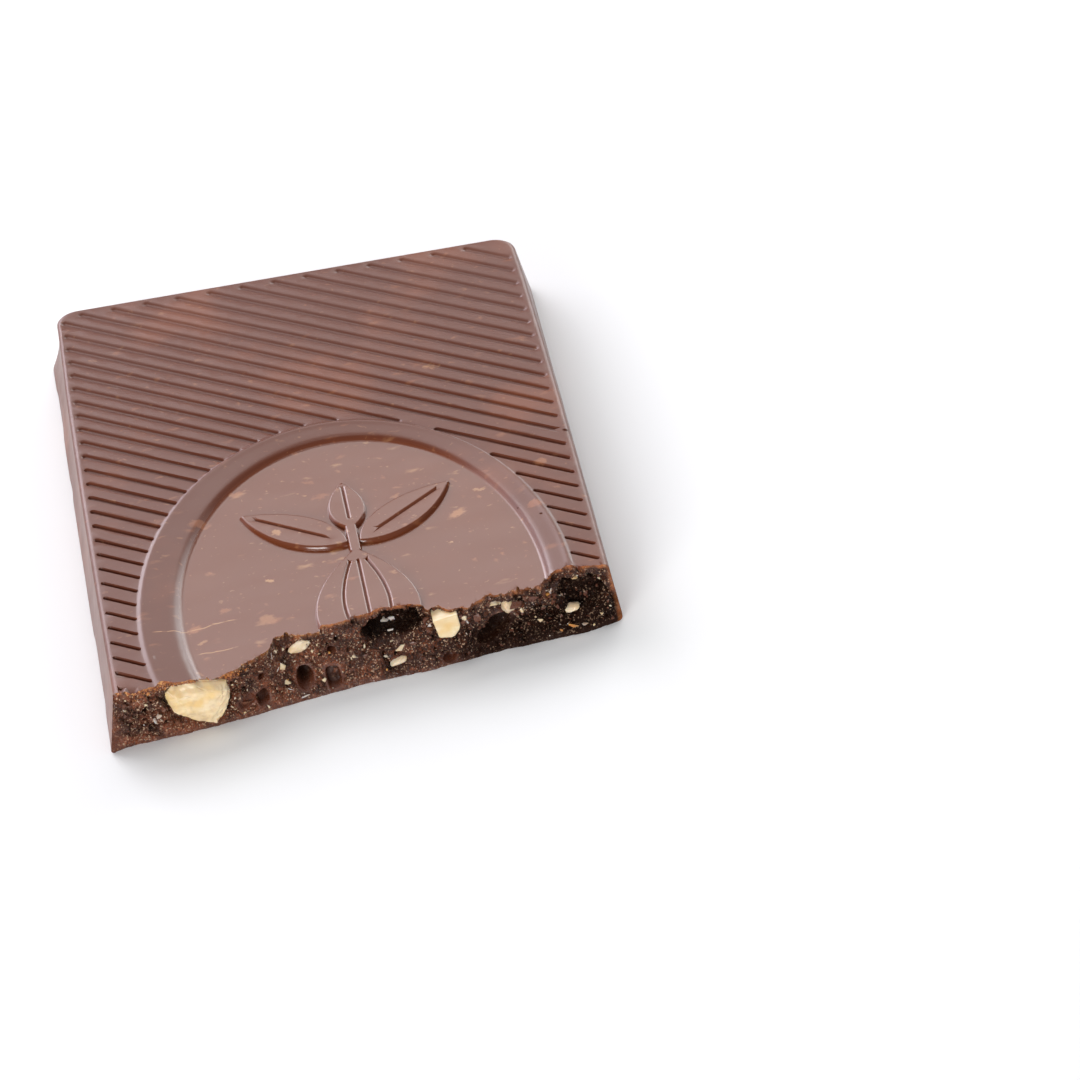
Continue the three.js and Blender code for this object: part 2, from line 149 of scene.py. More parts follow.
def segment_distance(x: Array, y: Array, line: Array) -> Array:
    """Distance from places to an open line of points.

    Args:
        x: First coordinates.
        y: Second coordinates.
        line: Points of the line, one row each.

    Returns:
        The shortest distance for each place.
    """
    best = np.full(x.shape, 1e9)
    for (ax, ay), (bx, by) in zip(line[:-1], line[1:]):
        dx, dy = bx - ax, by - ay
        share = np.clip(((x - ax) * dx + (y - ay) * dy) / (dx * dx + dy * dy), 0.0, 1.0)
        best = np.minimum(best, np.hypot(x - ax - share * dx, y - ay - share * dy))
    return best


def inside(x: Array, y: Array, loop: Array) -> Array:
    """Whether places lie inside a closed loop of points.

    Args:
        x: First coordinates.
        y: Second coordinates.
        loop: Points of the loop, one row each.

    Returns:
        True for each place inside.
    """
    found = np.zeros(x.shape, bool)
    for (ax, ay), (bx, by) in zip(loop, np.roll(loop, -1, axis=0)):
        crosses = (ay > y) != (by > y)
        if by != ay:
            found ^= crosses & (x < (bx - ax) * (y - ay) / (by - ay) + ax)
    return found


# The moulded face


@dataclass(frozen=True)
class Oval:
    """An upright oval in the bar frame."""

    x: float
    y: float
    a: float
    b: float


@dataclass(frozen=True)
class Grooves:
    """The evenly spaced slanting lines pressed into the face."""

    pitch: float = 2.63
    angle: float = math.radians(37.24)
    offset: float = -0.87
    half_width: float = 0.32
    far_half_width: float = 0.74
    depth: float = 0.4
    far_depth: float = 0.23
    margin: float = 1.3
    left_margin: float = 0.75
    right_margin: float = 0.45
    far_right_margin: float = 0.4
    gap: float = 0.4
    shortest: float = 2.4
    runout_line: int = 1
    runout_length: float = 1.6

    def spans(self, face_width: float, length: float, oval: Oval) -> list[tuple[int, float, float]]:
        """Every line cut short by the border and by the oval.

        Args:
            face_width: Width of the moulded face.
            length: Length of the uncut slab.
            oval: Outer edge of the medallion.

        Returns:
            For each span the line's number and where it starts and ends along the line.
        """
        left, right = face_width / 2 - self.left_margin, face_width / 2 - self.right_margin
        first = math.ceil((-face_width * math.sin(self.angle) - self.offset) / self.pitch)
        last = math.floor((length * math.cos(self.angle) - self.offset) / self.pitch)
        dx, dy = math.cos(self.angle), -math.sin(self.angle)
        found = []
        for line in range(first, last + 1):
            px, py = self.start(line, face_width)
            begin = max((-left - px) / dx, (-self.margin - py) / dy)
            end = min((right - px) / dx, (1 - length - py) / dy)
            if line == self.runout_line:
                end += self.runout_length
            end -= self.far_right_margin * float(self.far(np.float64(py + end * dy))) / dx
            begin, end = (
                place + sign * self.growth * float(self.far(np.float64(py + place * dy))) / dx
                for place, sign in ((begin, 1), (end, -1))
            )
            a, b = oval.a + self.gap, oval.b + self.gap
            ux, uy, vx, vy = (px - oval.x) / a, (py - oval.y) / b, dx / a, dy / b
            half, square = ux * vx + uy * vy, vx * vx + vy * vy
            rest = half * half - square * (ux * ux + uy * uy - 1)
            pieces = [(begin, end)]
            if rest > 0:
                root = math.sqrt(rest)
                enter, leave = (-half - root) / square, (-half + root) / square
                pieces = [(begin, min(end, enter)), (max(begin, leave), end)]
            found += [(line, low, high) for low, high in pieces if high - low > self.shortest]
        return found

    def start(self, line: int, face_width: float) -> tuple[float, float]:
        """The point of a line that lies square across the lines from the far left corner."""
        place = self.offset + line * self.pitch
        return -face_width / 2 - math.sin(self.angle) * place, -math.cos(self.angle) * place

    @property
    def growth(self) -> float:
        """How much wider to each side a line is at the far edge."""
        return self.far_half_width - self.half_width

    def far(self, y: Array) -> Array:
        """How much of the far look a line has along the bar, from 0 to 1."""
        return smooth(y, -75.0, -5.0)

    def half_at(self, y: Array) -> Array:
        """Half the width of a line along the bar."""
        return self.half_width + self.growth * self.far(y)

    def section(self, away: Array, y: Array) -> Array:
        """Height of the face near a line, which is shallower and wider towards the far edge.

        Args:
            away: Distances from the middle of the line.
            y: Places along the bar.

        Returns:
            The height over the face, below zero inside the line.
        """
        far = self.far(y)
        half = self.half_at(y)
        depth = self.depth + (self.far_depth - self.depth) * far
        return -depth * smooth(1 - away / half, 0.0, 0.55 + 0.3 * far)


@dataclass(frozen=True)
class Leaf:
    """A pointed oval of the ornament, from its foot along a direction."""

    x: float
    y: float
    length: float
    width: float
    turn: float

    def outline(self, steps: int = 26) -> Array:
        """Points round the leaf, anticlockwise, round the middle of the field.

        Args:
            steps: Points on each half of the leaf.

        Returns:
            The points, one row each.
        """
        pulls = ((0, 0), (0.62, 0.18), (0.7, 0.62), (0, 1))
        t = np.linspace(0, 1, steps)[:, None]
        a, b, c, d = (np.array((wide * self.width, high * self.length), float) for wide, high in pulls)
        curve = (1 - t) ** 3 * a + 3 * (1 - t) ** 2 * t * b + 3 * (1 - t) * t**2 * c + t**3 * d
        other = (curve * [-1, 1])[::-1]
        points = np.vstack([curve[:-1], other[:-1]])
        angle = math.radians(self.turn)
        spin = np.array([[math.cos(angle), math.sin(angle)], [-math.sin(angle), math.cos(angle)]])
        return points @ spin + [self.x, self.y]

    def rib(self, low: float, high: float) -> Array:
        """The line of the leaf's middle rib between two shares of its length.

        Args:
            low: Share of the length where the rib starts.
            high: Share where it ends.

        Returns:
            Its two end points.
        """
        angle = math.radians(90 + self.turn)
        way = np.array([math.cos(angle), math.sin(angle)]) * self.length
        return np.array([[self.x, self.y] + way * low, [self.x, self.y] + way * high])


@dataclass(frozen=True)
class Ornament:
    """Raised pod, leaves and bud in the sunk field."""

    height: float = 0.6
    shoulder: float = 0.34
    vein_half_width: float = 0.3
    vein_depth: float = 0.3
    pod: Leaf = Leaf(0, -17, 25, 13.5, 0)
    leaves: tuple[Leaf, ...] = (
        Leaf(-0.6, 9.2, 16.5, 6.4, 52), Leaf(0.6, 9.2, 16.5, 6.4, -52), Leaf(0, 12.2, 11, 5, 0),
    )
    stem_half_width: float = 0.85
    stem_low: float = 7.0
    stem_high: float = 13.2

    def outlines(self) -> list[Array]:
        """Closed outlines of every raised piece.

        Returns:
            One loop of points for each piece.
        """
        w, low, high = self.stem_half_width, self.stem_low, self.stem_high
        rows = np.linspace(low, high, 9)
        stem = np.array([(w, y) for y in rows] + [(-w, y) for y in rows[::-1]])
        return [self.pod.outline(44), stem] + [leaf.outline() for leaf in self.leaves]

    def veins(self) -> list[Array]:
        """Open lines that are pressed into the raised pieces.

        Returns:
            The lines, as rows of points.
        """
        lines = []
        for share in (-0.5, 0.0, 0.5):
            t = np.linspace(0.1, 0.88, 15)
            bulge = np.sin(math.pi * t) * share * self.pod.width * 0.42
            lines.append(np.stack([bulge, self.pod.y + self.pod.length * t], axis=1))
        return lines + [leaf.rib(0.22, 0.84) for leaf in self.leaves]

    def relief(self, x: Array, y: Array) -> Array:
        """Height above the field, for places round the middle of the field.

        Args:
            x: Places across the bar.
            y: Places along the bar.

        Returns:
            The height at each place.
        """
        depth = np.full(x.shape, -9.0)
        for loop in self.outlines():
            away = segment_distance(x, y, np.vstack([loop, loop[:1]]))
            depth = np.maximum(depth, np.where(inside(x, y, loop), away, -away))
        share = np.clip(depth / self.shoulder, 0.0, 1.0)
        height = self.height * np.sin(share * math.pi / 2) ** 0.8
        for line in self.veins():
            near = np.clip(1 - segment_distance(x, y, line) / self.vein_half_width, 0.0, 1.0)
            height -= self.vein_depth * near**1.2 * share
        return height


@dataclass(frozen=True)
class Face:
    """The moulded face: lines, medallion and ornament as one height over x and y."""

    width: float = 62.0
    thickness: float = 8.2
    length: float = 100.0
    grooves: Grooves = Grooves()
    crest: Oval = Oval(0.3, -78.6, 27.1, 40.8)
    field: Oval = Oval(1.3, -77.8, 22.4, 35.9)
    motif_middle: tuple[float, float] = (1.55, -74.7)
    ornament: Ornament = Ornament()
    band: Stations = (
        (-0.05, 0.0), (-0.025, 0.012), (0.0, 0.06), (0.025, 0.125), (0.05, 0.17), (0.08, 0.188),
        (0.12, 0.184), (0.17, 0.15), (0.24, 0.09), (0.34, 0.03), (0.5, -0.055), (0.66, -0.14),
        (0.74, -0.2), (0.785, -0.265), (0.825, -0.36), (0.86, -0.48), (0.895, -0.61), (0.93, -0.73),
        (0.965, -0.81), (1.0, -0.85), (1.04, -0.85),
    )

    def oval_at(self, share: Array | float) -> tuple[Array, Array, Array, Array]:
        """Middle and half axes of the oval at a share between the crest oval and the field oval.

        Args:
            share: 0 for the crest oval, 1 for the field oval.

        Returns:
            Middle across, middle along, half width and half length.
        """
        first, last = self.crest, self.field
        return (
            first.x + (last.x - first.x) * share,
            first.y + (last.y - first.y) * share,
            first.a + (last.a - first.a) * share,
            first.b + (last.b - first.b) * share,
        )

    def band_share(self, x: Array, y: Array) -> Array:
        """How far places lie from the crest oval (0) to the field oval (1).

        Args:
            x: Places across the bar.
            y: Places along the bar.

        Returns:
            The share of each place.
        """
        low, high = np.full(x.shape, -0.3), np.full(x.shape, 1.3)
        for _ in range(22):
            share = (low + high) / 2
            cx, cy, a, b = self.oval_at(share)
            within = np.hypot((x - cx) / a, (y - cy) / b) < 1
            low, high = np.where(within, share, low), np.where(within, high, share)
        return (low + high) / 2

    def oval_ring(self, share: float, steps: int) -> Array:
        """Points on the oval at a share between the crest oval and the field oval.

        Args:
            share: 0 for the crest oval, 1 for the field oval.
            steps: Number of points.

        Returns:
            The points, one row each.
        """
        angle = np.linspace(0, 2 * math.pi, steps, endpoint=False)
        cx, cy, a, b = self.oval_at(share)
        return np.stack([cx + a * np.cos(angle), cy + b * np.sin(angle)], axis=1)

    def line_distance(self, x: Array, y: Array) -> Array:
        """Distance to the middle of the nearest pressed line.

        Args:
            x: Places across the bar.
            y: Places along the bar.

        Returns:
            The distance of each place.
        """
        g = self.grooves
        across = -math.sin(g.angle) * (x + self.width / 2) - math.cos(g.angle) * y
        forward = math.cos(g.angle) * (x + self.width / 2) - math.sin(g.angle) * y
        best = np.full(x.shape, 9.0)
        for line, begin, end in g.spans(self.width, self.length, self.crest):
            side = across - (g.offset + line * g.pitch)
            over = forward - np.clip(forward, begin, end)
            best = np.minimum(best, np.hypot(side, over))
        return best

    def height(self, x: Array, y: Array) -> Array:
        """Height of the moulded face above the underside.

        Args:
            x: Places across the bar.
            y: Places along the bar.

        Returns:
            The height at each place.
        """
        share = self.band_share(x, y)
        z = self.thickness + np.interp(share, [s for s, _ in self.band], [h for _, h in self.band])
        z += self.grooves.section(self.line_distance(x, y), y)
        sunk = share > 0.98
        if sunk.any():
            z[sunk] += self.ornament.relief(x[sunk] - self.motif_middle[0], y[sunk] - self.motif_middle[1])
        return z + 0.008 * bumps(x + 7, y + 3, 9.0) + 0.003 * bumps(x, y, 3.7)


# The broken face


class HollowKind(Enum):
    """What a hollow in the broken face looks like inside."""

    BUBBLE = "smooth and round"
    SOCKET = "smooth, with a flat back"
    CAVE = "deep and crumbly"
    LUMP = "a crumbly swelling"
    SEAT = "room for a nut"


@dataclass(frozen=True)
class Hollow:
    """A hollow or a swelling in the broken face, seen from the front."""

    x: float
    z: float
    rx: float
    rz: float
    depth: float
    kind: HollowKind
    lean: float = 0.0

    @property
    def wide(self) -> bool:
        """Whether it is a large hollow, which is less even than a small one."""
        return self.rx > 1.5

    def reach(self, x: Array, z: Array) -> Array:
        """How far places lie from the middle (0) to the edge (1).

        Args:
            x: Places across the bar.
            z: Heights above the underside.

        Returns:
            The share of each place.
        """
        c, s = math.cos(self.lean), math.sin(self.lean)
        u, v = (x - self.x) * c + (z - self.z) * s, (z - self.z) * c - (x - self.x) * s
        if self.kind in (HollowKind.SOCKET, HollowKind.SEAT):
            return ((np.abs(u) / self.rx) ** 4 + (np.abs(v) / self.rz) ** 4) ** 0.25
        return np.hypot(u / self.rx, v / self.rz)

    def sink(self, x: Array, z: Array) -> Array:
        """Depth of the hollow at each place.

        Args:
            x: Places across the bar.
            z: Heights above the underside.

        Returns:
            The depth, below zero for a swelling.
        """
        reach = self.reach(x, z)
        if self.kind in (HollowKind.SOCKET, HollowKind.SEAT):
            return self.depth * smooth(1 - reach, 0.0, 0.28)
        if self.kind is HollowKind.LUMP:
            return -self.depth * smooth(1.1 - reach, 0.0, 0.45)
        if self.kind is HollowKind.CAVE:
            ragged = reach + 0.16 * bumps(x + 3, z + 9, 0.9)
            return self.depth * smooth(1.05 - ragged, 0.0, 0.4)
        reach = reach + 0.16 * bumps(x + 1, z + 4, 1.3) * self.wide
        return self.depth * np.sqrt(np.clip(1 - reach * reach, 0.0, 1.0))


@dataclass(frozen=True)
class Grain:
    """One size of crumbs: their distance, uneven height, roundness, depth of the gaps, and a seed."""

    size: float
    lift: float
    dome: float
    crack: float
    seed: int


@dataclass(frozen=True)
class Break:
    """The rough face where the bar snapped."""

    face: Face
    rim: Stations = (
        (-33, -89.6), (-26, -89.9), (-24.5, -89.4), (-20, -88.9), (-15.3, -87.1), (-11.8, -85.1),
        (-10.4, -83), (-9, -82.6), (0, -82), (3, -80.9), (10, -81.7), (13.5, -83.4), (16.6, -81.3),
        (22.9, -80), (25.3, -79.5), (27, -80.2), (33, -80.2),
    )
    foot: Stations = (
        (-33, -90.7), (-30.5, -89.7), (-27, -89.4), (-22, -88.8), (-15, -87.9), (-9, -86.6), (0, -85.2),
        (8, -84.7), (16, -83.3), (22, -82.8), (28, -82.5), (31.8, -81.5), (33.3, -80.4),
    )
    waves: Stations = ((3.1, 0.5), (1.3, 0.3))
    calm_share: float = 0.15
    calm_height: float = 2.2
    hollows: tuple[Hollow, ...] = (
        Hollow(-7.6, 2.4, 1.05, 1.15, 1.5, HollowKind.BUBBLE),
        Hollow(-4.1, 1.8, 0.95, 1.35, 1.0, HollowKind.SOCKET, 0.1),
        Hollow(-13.2, 2.0, 0.8, 0.95, 0.9, HollowKind.SOCKET, 0.3),
        Hollow(-15.2, 2.2, 1.1, 0.8, 0.5, HollowKind.SOCKET, 0.3),
        Hollow(4.2, 5.8, 4.0, 1.7, 3.2, HollowKind.CAVE, 0.0),
        Hollow(16.6, 3.1, 2.4, 1.35, 2.1, HollowKind.BUBBLE, 0.4),
        Hollow(27.9, 5.0, 3.3, 2.6, 1.9, HollowKind.CAVE),
        Hollow(-13.0, 4.85, 0.42, 0.42, 1.2, HollowKind.BUBBLE),
        Hollow(-3.9, 5.2, 0.52, 0.5, 1.2, HollowKind.BUBBLE),
        Hollow(10.4, 0.95, 0.8, 0.6, 1.0, HollowKind.BUBBLE),
        Hollow(-27.7, 5.0, 0.6, 0.5, 0.9, HollowKind.CAVE),
        Hollow(-27.1, 2.1, 0.6, 0.45, 0.8, HollowKind.CAVE),
        Hollow(-28.8, 4.6, 0.7, 0.4, 0.6, HollowKind.CAVE),
        Hollow(20.6, 6.5, 3.2, 1.2, 1.0, HollowKind.LUMP, 0.1),
        Hollow(12.4, 3.0, 1.3, 1.0, 0.45, HollowKind.LUMP, 0.6),
        Hollow(-21.2, 4.3, 4.3, 3.7, 1.0, HollowKind.SEAT),
        Hollow(10.7, 5.3, 1.6, 1.6, 0.6, HollowKind.SEAT),
    )
    step_top: float = -11.4
    step_low: float = -8.6
    step_height: float = 0.85
    grains: tuple[Grain, ...] = (
        Grain(2.1, 0.6, 0.16, 0.12, 3), Grain(0.9, 0.28, 0.1, 0.1, 8), Grain(0.4, 0.12, 0.06, 0.08, 13),
    )
    grain_warp: float = 0.3
    gap_width: float = 0.1
    pore_count: int = 130
    pore_seed: int = 41
    pore_span: tuple[float, float] = (-31, 31)
    pore_heights: tuple[float, float] = (0.7, 7.4)
    pore_radius: float = 0.1
    pore_radius_spread: float = 0.28
    pore_depth: float = 2.6
    shade_from: float = 7.0
    shade_height: float = 3.4
    shade_share: float = 0.75
    smooth_border: float = 1.8

    def plane(self, x: Array, z: Array) -> Array:
        """Where the smooth break lies along y."""
        share = np.clip(z / self.face.thickness, 0.0, 1.0)
        return along(self.foot, x) * (1 - share) + along(self.rim, x) * share

    def crumb_share(self, x: Array, z: Array) -> Array:
        """How crumbly each place is, from 0 for smooth to 1.

        Args:
            x: Places across the bar.
            z: Heights above the underside.

        Returns:
            The share of each place.
        """
        left = (x + self.face.width / 2 + 1.5) / 2.2 + 0.2 * z
        edge = np.minimum(np.minimum(1.8 * (self.face.width / 2 + 1.4 - x), 1.2 * z + 0.25), left)
        share = 0.22 + 0.78 * smooth(edge + 0.35 * bumps(x, z, 1.1), 0.2, self.smooth_border)
        share *= 0.75 + 0.45 * smooth(bumps(x + 11, z + 5, 2.3), -0.5, 0.6)
        share *= 0.5 + 0.5 * smooth(self.face.thickness - z, 0.1, 0.8)
        for hollow in self.hollows:
            if hollow.kind in (HollowKind.BUBBLE, HollowKind.SOCKET):
                inner = 0.3 if hollow.wide else 0.08
                share *= inner + (1 - inner) * smooth(hollow.reach(x, z), 1.05, 1.45)
        return share

    def crumbs(self, x: Array, z: Array) -> Array:
        """Outward height of the crumbly grain.

        Args:
            x: Places across the bar.
            z: Heights above the underside.

        Returns:
            The height at each place.
        """
        height = np.zeros(x.shape)
        for grain in self.grains:
            warp = self.grain_warp * grain.size * bumps(x + grain.seed, z - grain.seed, grain.size * 0.7)
            first, second, own = cells(x + warp, z - warp, grain.size, grain.seed)
            gap = np.exp(-(second - first) / self.gap_width)
            height += grain.lift * (own - 0.5) + grain.dome * (0.6 - first) - grain.crack * gap
        return height

    def pores(self, x: Array, z: Array) -> Array:
        """Depth of the scattered small air holes.

        Args:
            x: Places across the bar.
            z: Heights above the underside.

        Returns:
            The depth at each place.
        """
        draw = np.random.default_rng(self.pore_seed)
        sink = np.zeros(x.shape)
        for _ in range(self.pore_count):
            px, pz = draw.uniform(*self.pore_span), draw.uniform(*self.pore_heights)
            radius = self.pore_radius + self.pore_radius_spread * draw.random() ** 2
            reach = np.hypot(x - px, z - pz) / radius
            sink = np.maximum(sink, self.pore_depth * radius * np.sqrt(np.clip(1 - reach * reach, 0.0, 1.0)))
        return sink

    def coarse(self, x: Array, z: Array) -> Array:
        """Where the break lies along y without its crumbs.

        Args:
            x: Places across the bar.
            z: Heights above the underside.

        Returns:
            The y of each place.
        """
        y = self.plane(x, z)
        calm = self.calm_share + (1 - self.calm_share) * smooth(z, 0.0, self.calm_height)
        for size, height in self.waves:
            y = y + calm * height * bumps(x + 50, z + 50, size)
        for hollow in self.hollows:
            crust = 1 - smooth(z, 6.9, 7.7) if hollow.kind is HollowKind.SEAT else 1
            y = y + hollow.sink(x, z) * (0.2 + 0.8 * smooth(z, 0.0, 0.8)) * crust
        height_share = z / self.face.thickness
        past = x - (self.step_low + (self.step_top - self.step_low) * height_share) + 0.25 * bumps(x, z, 1.4)
        rise = smooth(past, 0.0, 0.3) * (1 - smooth(past, 0.5, 5.0))
        return y + self.step_height * rise * smooth(z, 1.0, 2.6) * (1 - smooth(z, 6.8, 8.2))

    def pits(self, x: Array, z: Array) -> Array:
        """How deep places lie under their surroundings, from 0 to 1, or the share of painted shade under the
        overhang at the lower right where that is more. The finish paints shade by it.

        Args:
            x: Places across the bar.
            z: Heights above the underside.

        Returns:
            The share of each place.
        """
        share = self.crumb_share(x, z)
        deep = share * (self.pores(x, z) - self.crumbs(x, z))
        for hollow in self.hollows:
            if hollow.kind not in (HollowKind.LUMP, HollowKind.SEAT):
                deep = deep + 0.45 * hollow.sink(x, z)
        # Painted shade under the overhang at the lower right, which is no depth
        under = smooth(x, self.shade_from, self.shade_from + 8)
        under = under * (1 - smooth(z, self.shade_height, self.shade_height + 1.5))
        return np.maximum(smooth(deep, -0.05, 0.85), under * self.shade_share)

    def surface(self, x: Array, z: Array) -> Array:
        """Where the finished break lies along y.

        Args:
            x: Places across the bar.
            z: Heights above the underside.

        Returns:
            The y of each place.
        """
        share = self.crumb_share(x, z)
        return self.coarse(x, z) - share * self.crumbs(x, z) + share * self.pores(x, z)


# The half bar as one closed mesh


@dataclass
class HalfBar:
    """The chocolate body: moulded face, drafted sides, underside and broken face in one closed mesh."""

    face: Face
    broken: Break
    draft: float = 1.7
    corner_radius: float = 2.8
    base_corner: float = 0.4
    top_round: float = 0.6
    base_round: float = 0.5
    left_belly: Stations = ((-92, 0.1), (-70, 0.3), (-45, 0.4), (-20, 0.3), (-4, 0.0))
    right_belly: Stations = ((-92, 0.65), (-60, 0.6), (-30, 0.5), (-10, 0.25), (-2, 0.0))
    left_hollow: Stations = ((-92, 0.0), (-60, 0.1), (-30, 0.35), (-12, 0.6), (4, 0.6))
    side_step: float = 1.6
    break_columns: int = 640
    rows: int = 80
    face_spacing: float = 1.3
    face_clear: float = 0.12
    base_spacing: float = 1.6
    base_clear: float = 0.5
    base_dent: float = 0.03
    groove_rings: tuple[float, ...] = (0.08, 0.16, 0.25, 0.34, 0.44)
    shoulder_rings: tuple[float, ...] = (-0.06, 0.0, 0.05, 0.11, 0.18, 0.26, 0.34, 0.42)
    vein_rings: tuple[float, ...] = (-0.36, -0.29, -0.15, 0.0, 0.15, 0.29, 0.36)
    top_from: float = 7.0
    crease: float = math.radians(38)

    def outset(self, z: Array) -> Array:
        """How far the side stands out beyond the face's edge at a height.

        Args:
            z: Heights above the underside.

        Returns:
            The outset at each height.
        """
        t = self.face.thickness
        side = self.draft * (1 - z / t)
        low = np.clip(1 - z / self.base_round, 0.0, 1.0)
        high = np.clip(1 - (t - z) / self.top_round, 0.0, 1.0)
        for bend, radius in ((low, self.base_round), (high, self.top_round)):
            side = side - radius * (1 - np.sqrt(1 - bend * bend))
        return side

    def levels(self) -> Array:
        """Heights of the rows, from the underside up, closer together where the edges are round.

        Returns:
            The heights.
        """
        t = self.face.thickness
        bend = np.linspace(0, math.pi / 2, 5)
        low = self.base_round * (1 - np.cos(bend))
        high = t - self.top_round * (1 - np.sin(bend))
        middle = np.linspace(low[-1], high[0], self.rows - 2 * len(bend) + 2)[1:-1]
        return np.concatenate([low, middle, high])

    def widest(self) -> float:
        """Largest outset of the side."""
        return float(self.outset(self.levels()).max())

    def shift(self) -> Vector:
        """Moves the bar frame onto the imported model's frame, in millimetres."""
        return Vector((0.0, CAD_HIGH.y / MM - self.widest(), 0.0))

    def belly(self, stations: Stations, y: Array, z: Array) -> Array:
        """How far a side swells beyond the straight line, less towards the underside."""
        return along(stations, y) * z / self.face.thickness

    def side_path(self, z: float, near_left: float, near_right: float) -> Array:
        """Outline of one row, from the left end of the break round the far edge to its right end.

        Args:
            z: Height of the row.
            near_left: Where the left side meets the break.
            near_right: Where the right side meets the break.

        Returns:
            Points of the row, the same number for every row.
        """
        out = float(self.outset(np.array([z]))[0])
        half = self.face.width / 2 + out
        radius = self.corner_radius + self.base_corner * (1 - z / self.face.thickness)
        corners = []
        for cx, start in ((radius - half, 180), (half - radius, 90)):
            angle = np.radians(np.linspace(start, start - 90, 11))
            arc = np.stack([cx + radius * np.cos(angle), out - radius + radius * np.sin(angle)], axis=1)
            corners.append(arc)
        steps = round(-near_left / self.side_step)
        left = np.linspace((-half, near_left), corners[0][0], steps)[:-1]
        across = np.linspace(corners[0][-1], corners[1][0], round(self.face.width / self.side_step))[1:-1]
        right = np.linspace(corners[1][-1], (half, near_right), steps)[1:]
        path = np.vstack([left, corners[0], across, corners[1], right])
        hollow = along(self.left_hollow, path[:, 1]) * math.sin(math.pi * z / self.face.thickness)
        left_swell = hollow - self.belly(self.left_belly, path[:, 1], z)
        swell = np.where(path[:, 0] > 0, self.belly(self.right_belly, path[:, 1], z), left_swell)
        path[:, 0] += swell * smooth(np.abs(path[:, 0]), half - 4, half - 0.5)
        return path

    def belt(self) -> tuple[Array, int]:
        """Rows of points round the whole bar: side, then the broken face.

        Returns:
            The points as rows, columns and coordinates, and how many columns belong to the side.
        """
        z_rows = self.levels()
        t = self.face.thickness
        share = np.linspace(0, 1, self.break_columns + 2)[1:-1]
        straight = self.face.width / 2 + self.outset(z_rows)
        left_end = -straight - self.belly(self.left_belly, np.full(len(z_rows), -90.0), z_rows)
        right_end = straight + self.belly(self.right_belly, np.full(len(z_rows), -81.0), z_rows)
        left = self.broken.surface(left_end, z_rows)
        right = self.broken.surface(right_end, z_rows)
        step_sides = [self.side_path(z, left[0], right[0]) for z in z_rows]
        rows = []
        for r, z in enumerate(z_rows):
            side = step_sides[r].copy()
            count = len(side)
            fade_left = np.clip(1 - (side[:, 1] - left[0]) / 30, 0, 1) * (side[:, 0] < 0)
            fade_right = np.clip(1 - (side[:, 1] - right[0]) / 30, 0, 1) * (side[:, 0] > 0)
            side[:, 1] += fade_left * (left[r] - left[0]) + fade_right * (right[r] - right[0])
            side = np.column_stack([side, np.full(count, z)])
            x = right_end[r] + (left_end[r] - right_end[r]) * share
            top = t + 0 * x
            for _ in range(3):
                y = self.broken.surface(x, top * (z / t))
                top = self.face.height(x, y)
            rows.append(np.vstack([side, np.column_stack([x, y, top * (z / t)])]))
        return np.array(rows), count

    def rough_sides(self, belt: Array, count: int) -> None:
        """Presses slight waves into the sides and small jogs into their lower edge.

        Args:
            belt: Rows of points round the bar, changed in place.
            count: Columns that belong to the side.
        """
        side = belt[:, :count]
        run = np.arange(count)[None, :] * self.side_step
        z = side[:, :, 2]
        press = 0.05 * (1 + bumps(run + 4, z * 2, 7.0)) / 2
        jog = smooth(bumps(run, run * 0, 5.3), 0.0, 0.6) * 0.12 * (1 - smooth(z, 0.3, 1.6))
        press = (press + jog) * smooth(self.face.thickness - z, 0.3, 1.2)
        press[:, 0] = press[:, -1] = 0
        middle = np.array([0.0, -45.0])
        inward = middle - side[:, :, :2]
        inward[:, :, 1] *= np.abs(side[:, :, 1]) < self.corner_radius * 1.5
        inward[:, :, 0] *= np.abs(side[:, :, 0]) > self.face.width / 2 - self.corner_radius * 1.5
        length = np.maximum(np.linalg.norm(inward, axis=2, keepdims=True), 1e-6)
        side[:, :, :2] += inward / length * press[:, :, None]

    def face_points(self, rim: Array) -> tuple[list[Array], list[tuple[Array, bool]]]:
        """Points and lines that carry the relief of the moulded face.

        Args:
            rim: Points of the face's edge. Not used.

        Returns:
            Lines of points, each with whether it closes.
        """
        lines: list[tuple[Array, bool]] = []
        g = self.face.grooves
        way = np.array([math.cos(g.angle), -math.sin(g.angle)])
        across = np.array([-math.sin(g.angle), -math.cos(g.angle)])
        for line, begin, end in g.spans(self.face.width, self.face.length, self.face.crest):
            start = np.array(g.start(line, self.face.width))
            steps = max(2, round((end - begin) / 2.5) + 1)
            middle = start + way * np.linspace(begin, end, steps)[:, None]
            lines.append((middle, False))
            for away in (*self.groove_rings, g.far_half_width + 0.05):
                turn = np.linspace(-math.pi / 2, math.pi / 2, 7)[1:-1, None]
                cap_end = middle[-1] + away * (np.cos(turn) * way + np.sin(turn) * across)
                cap_start = middle[0] - away * (np.cos(turn) * way + np.sin(turn) * across)
                loop = np.vstack([middle - away * across, cap_end, middle[::-1] + away * across, cap_start])
                lines.append((loop, True))
        for share, _ in self.face.band:
            lines.append((self.face.oval_ring(share, 260), True))
        centre = np.array(self.face.motif_middle)
        for loop in self.face.ornament.outlines():
            fine = self.resample(loop, 0.3)
            tangent = np.roll(fine, -1, axis=0) - np.roll(fine, 1, axis=0)
            inward = np.stack([-tangent[:, 1], tangent[:, 0]], axis=1)
            inward /= np.linalg.norm(inward, axis=1, keepdims=True)
            for deep in self.shoulder_rings:
                ring = fine + inward * deep
                near = segment_distance(ring[:, 0], ring[:, 1], np.vstack([fine, fine[:1]]))
                lines += [(run + centre, False) for run in self.runs(ring, near > abs(deep) - 0.03)]
        for line in self.face.ornament.veins():
            fine = self.resample(line, 0.5, closed=False)
            tangent = np.gradient(fine, axis=0)
            side = np.stack([-tangent[:, 1], tangent[:, 0]], axis=1)
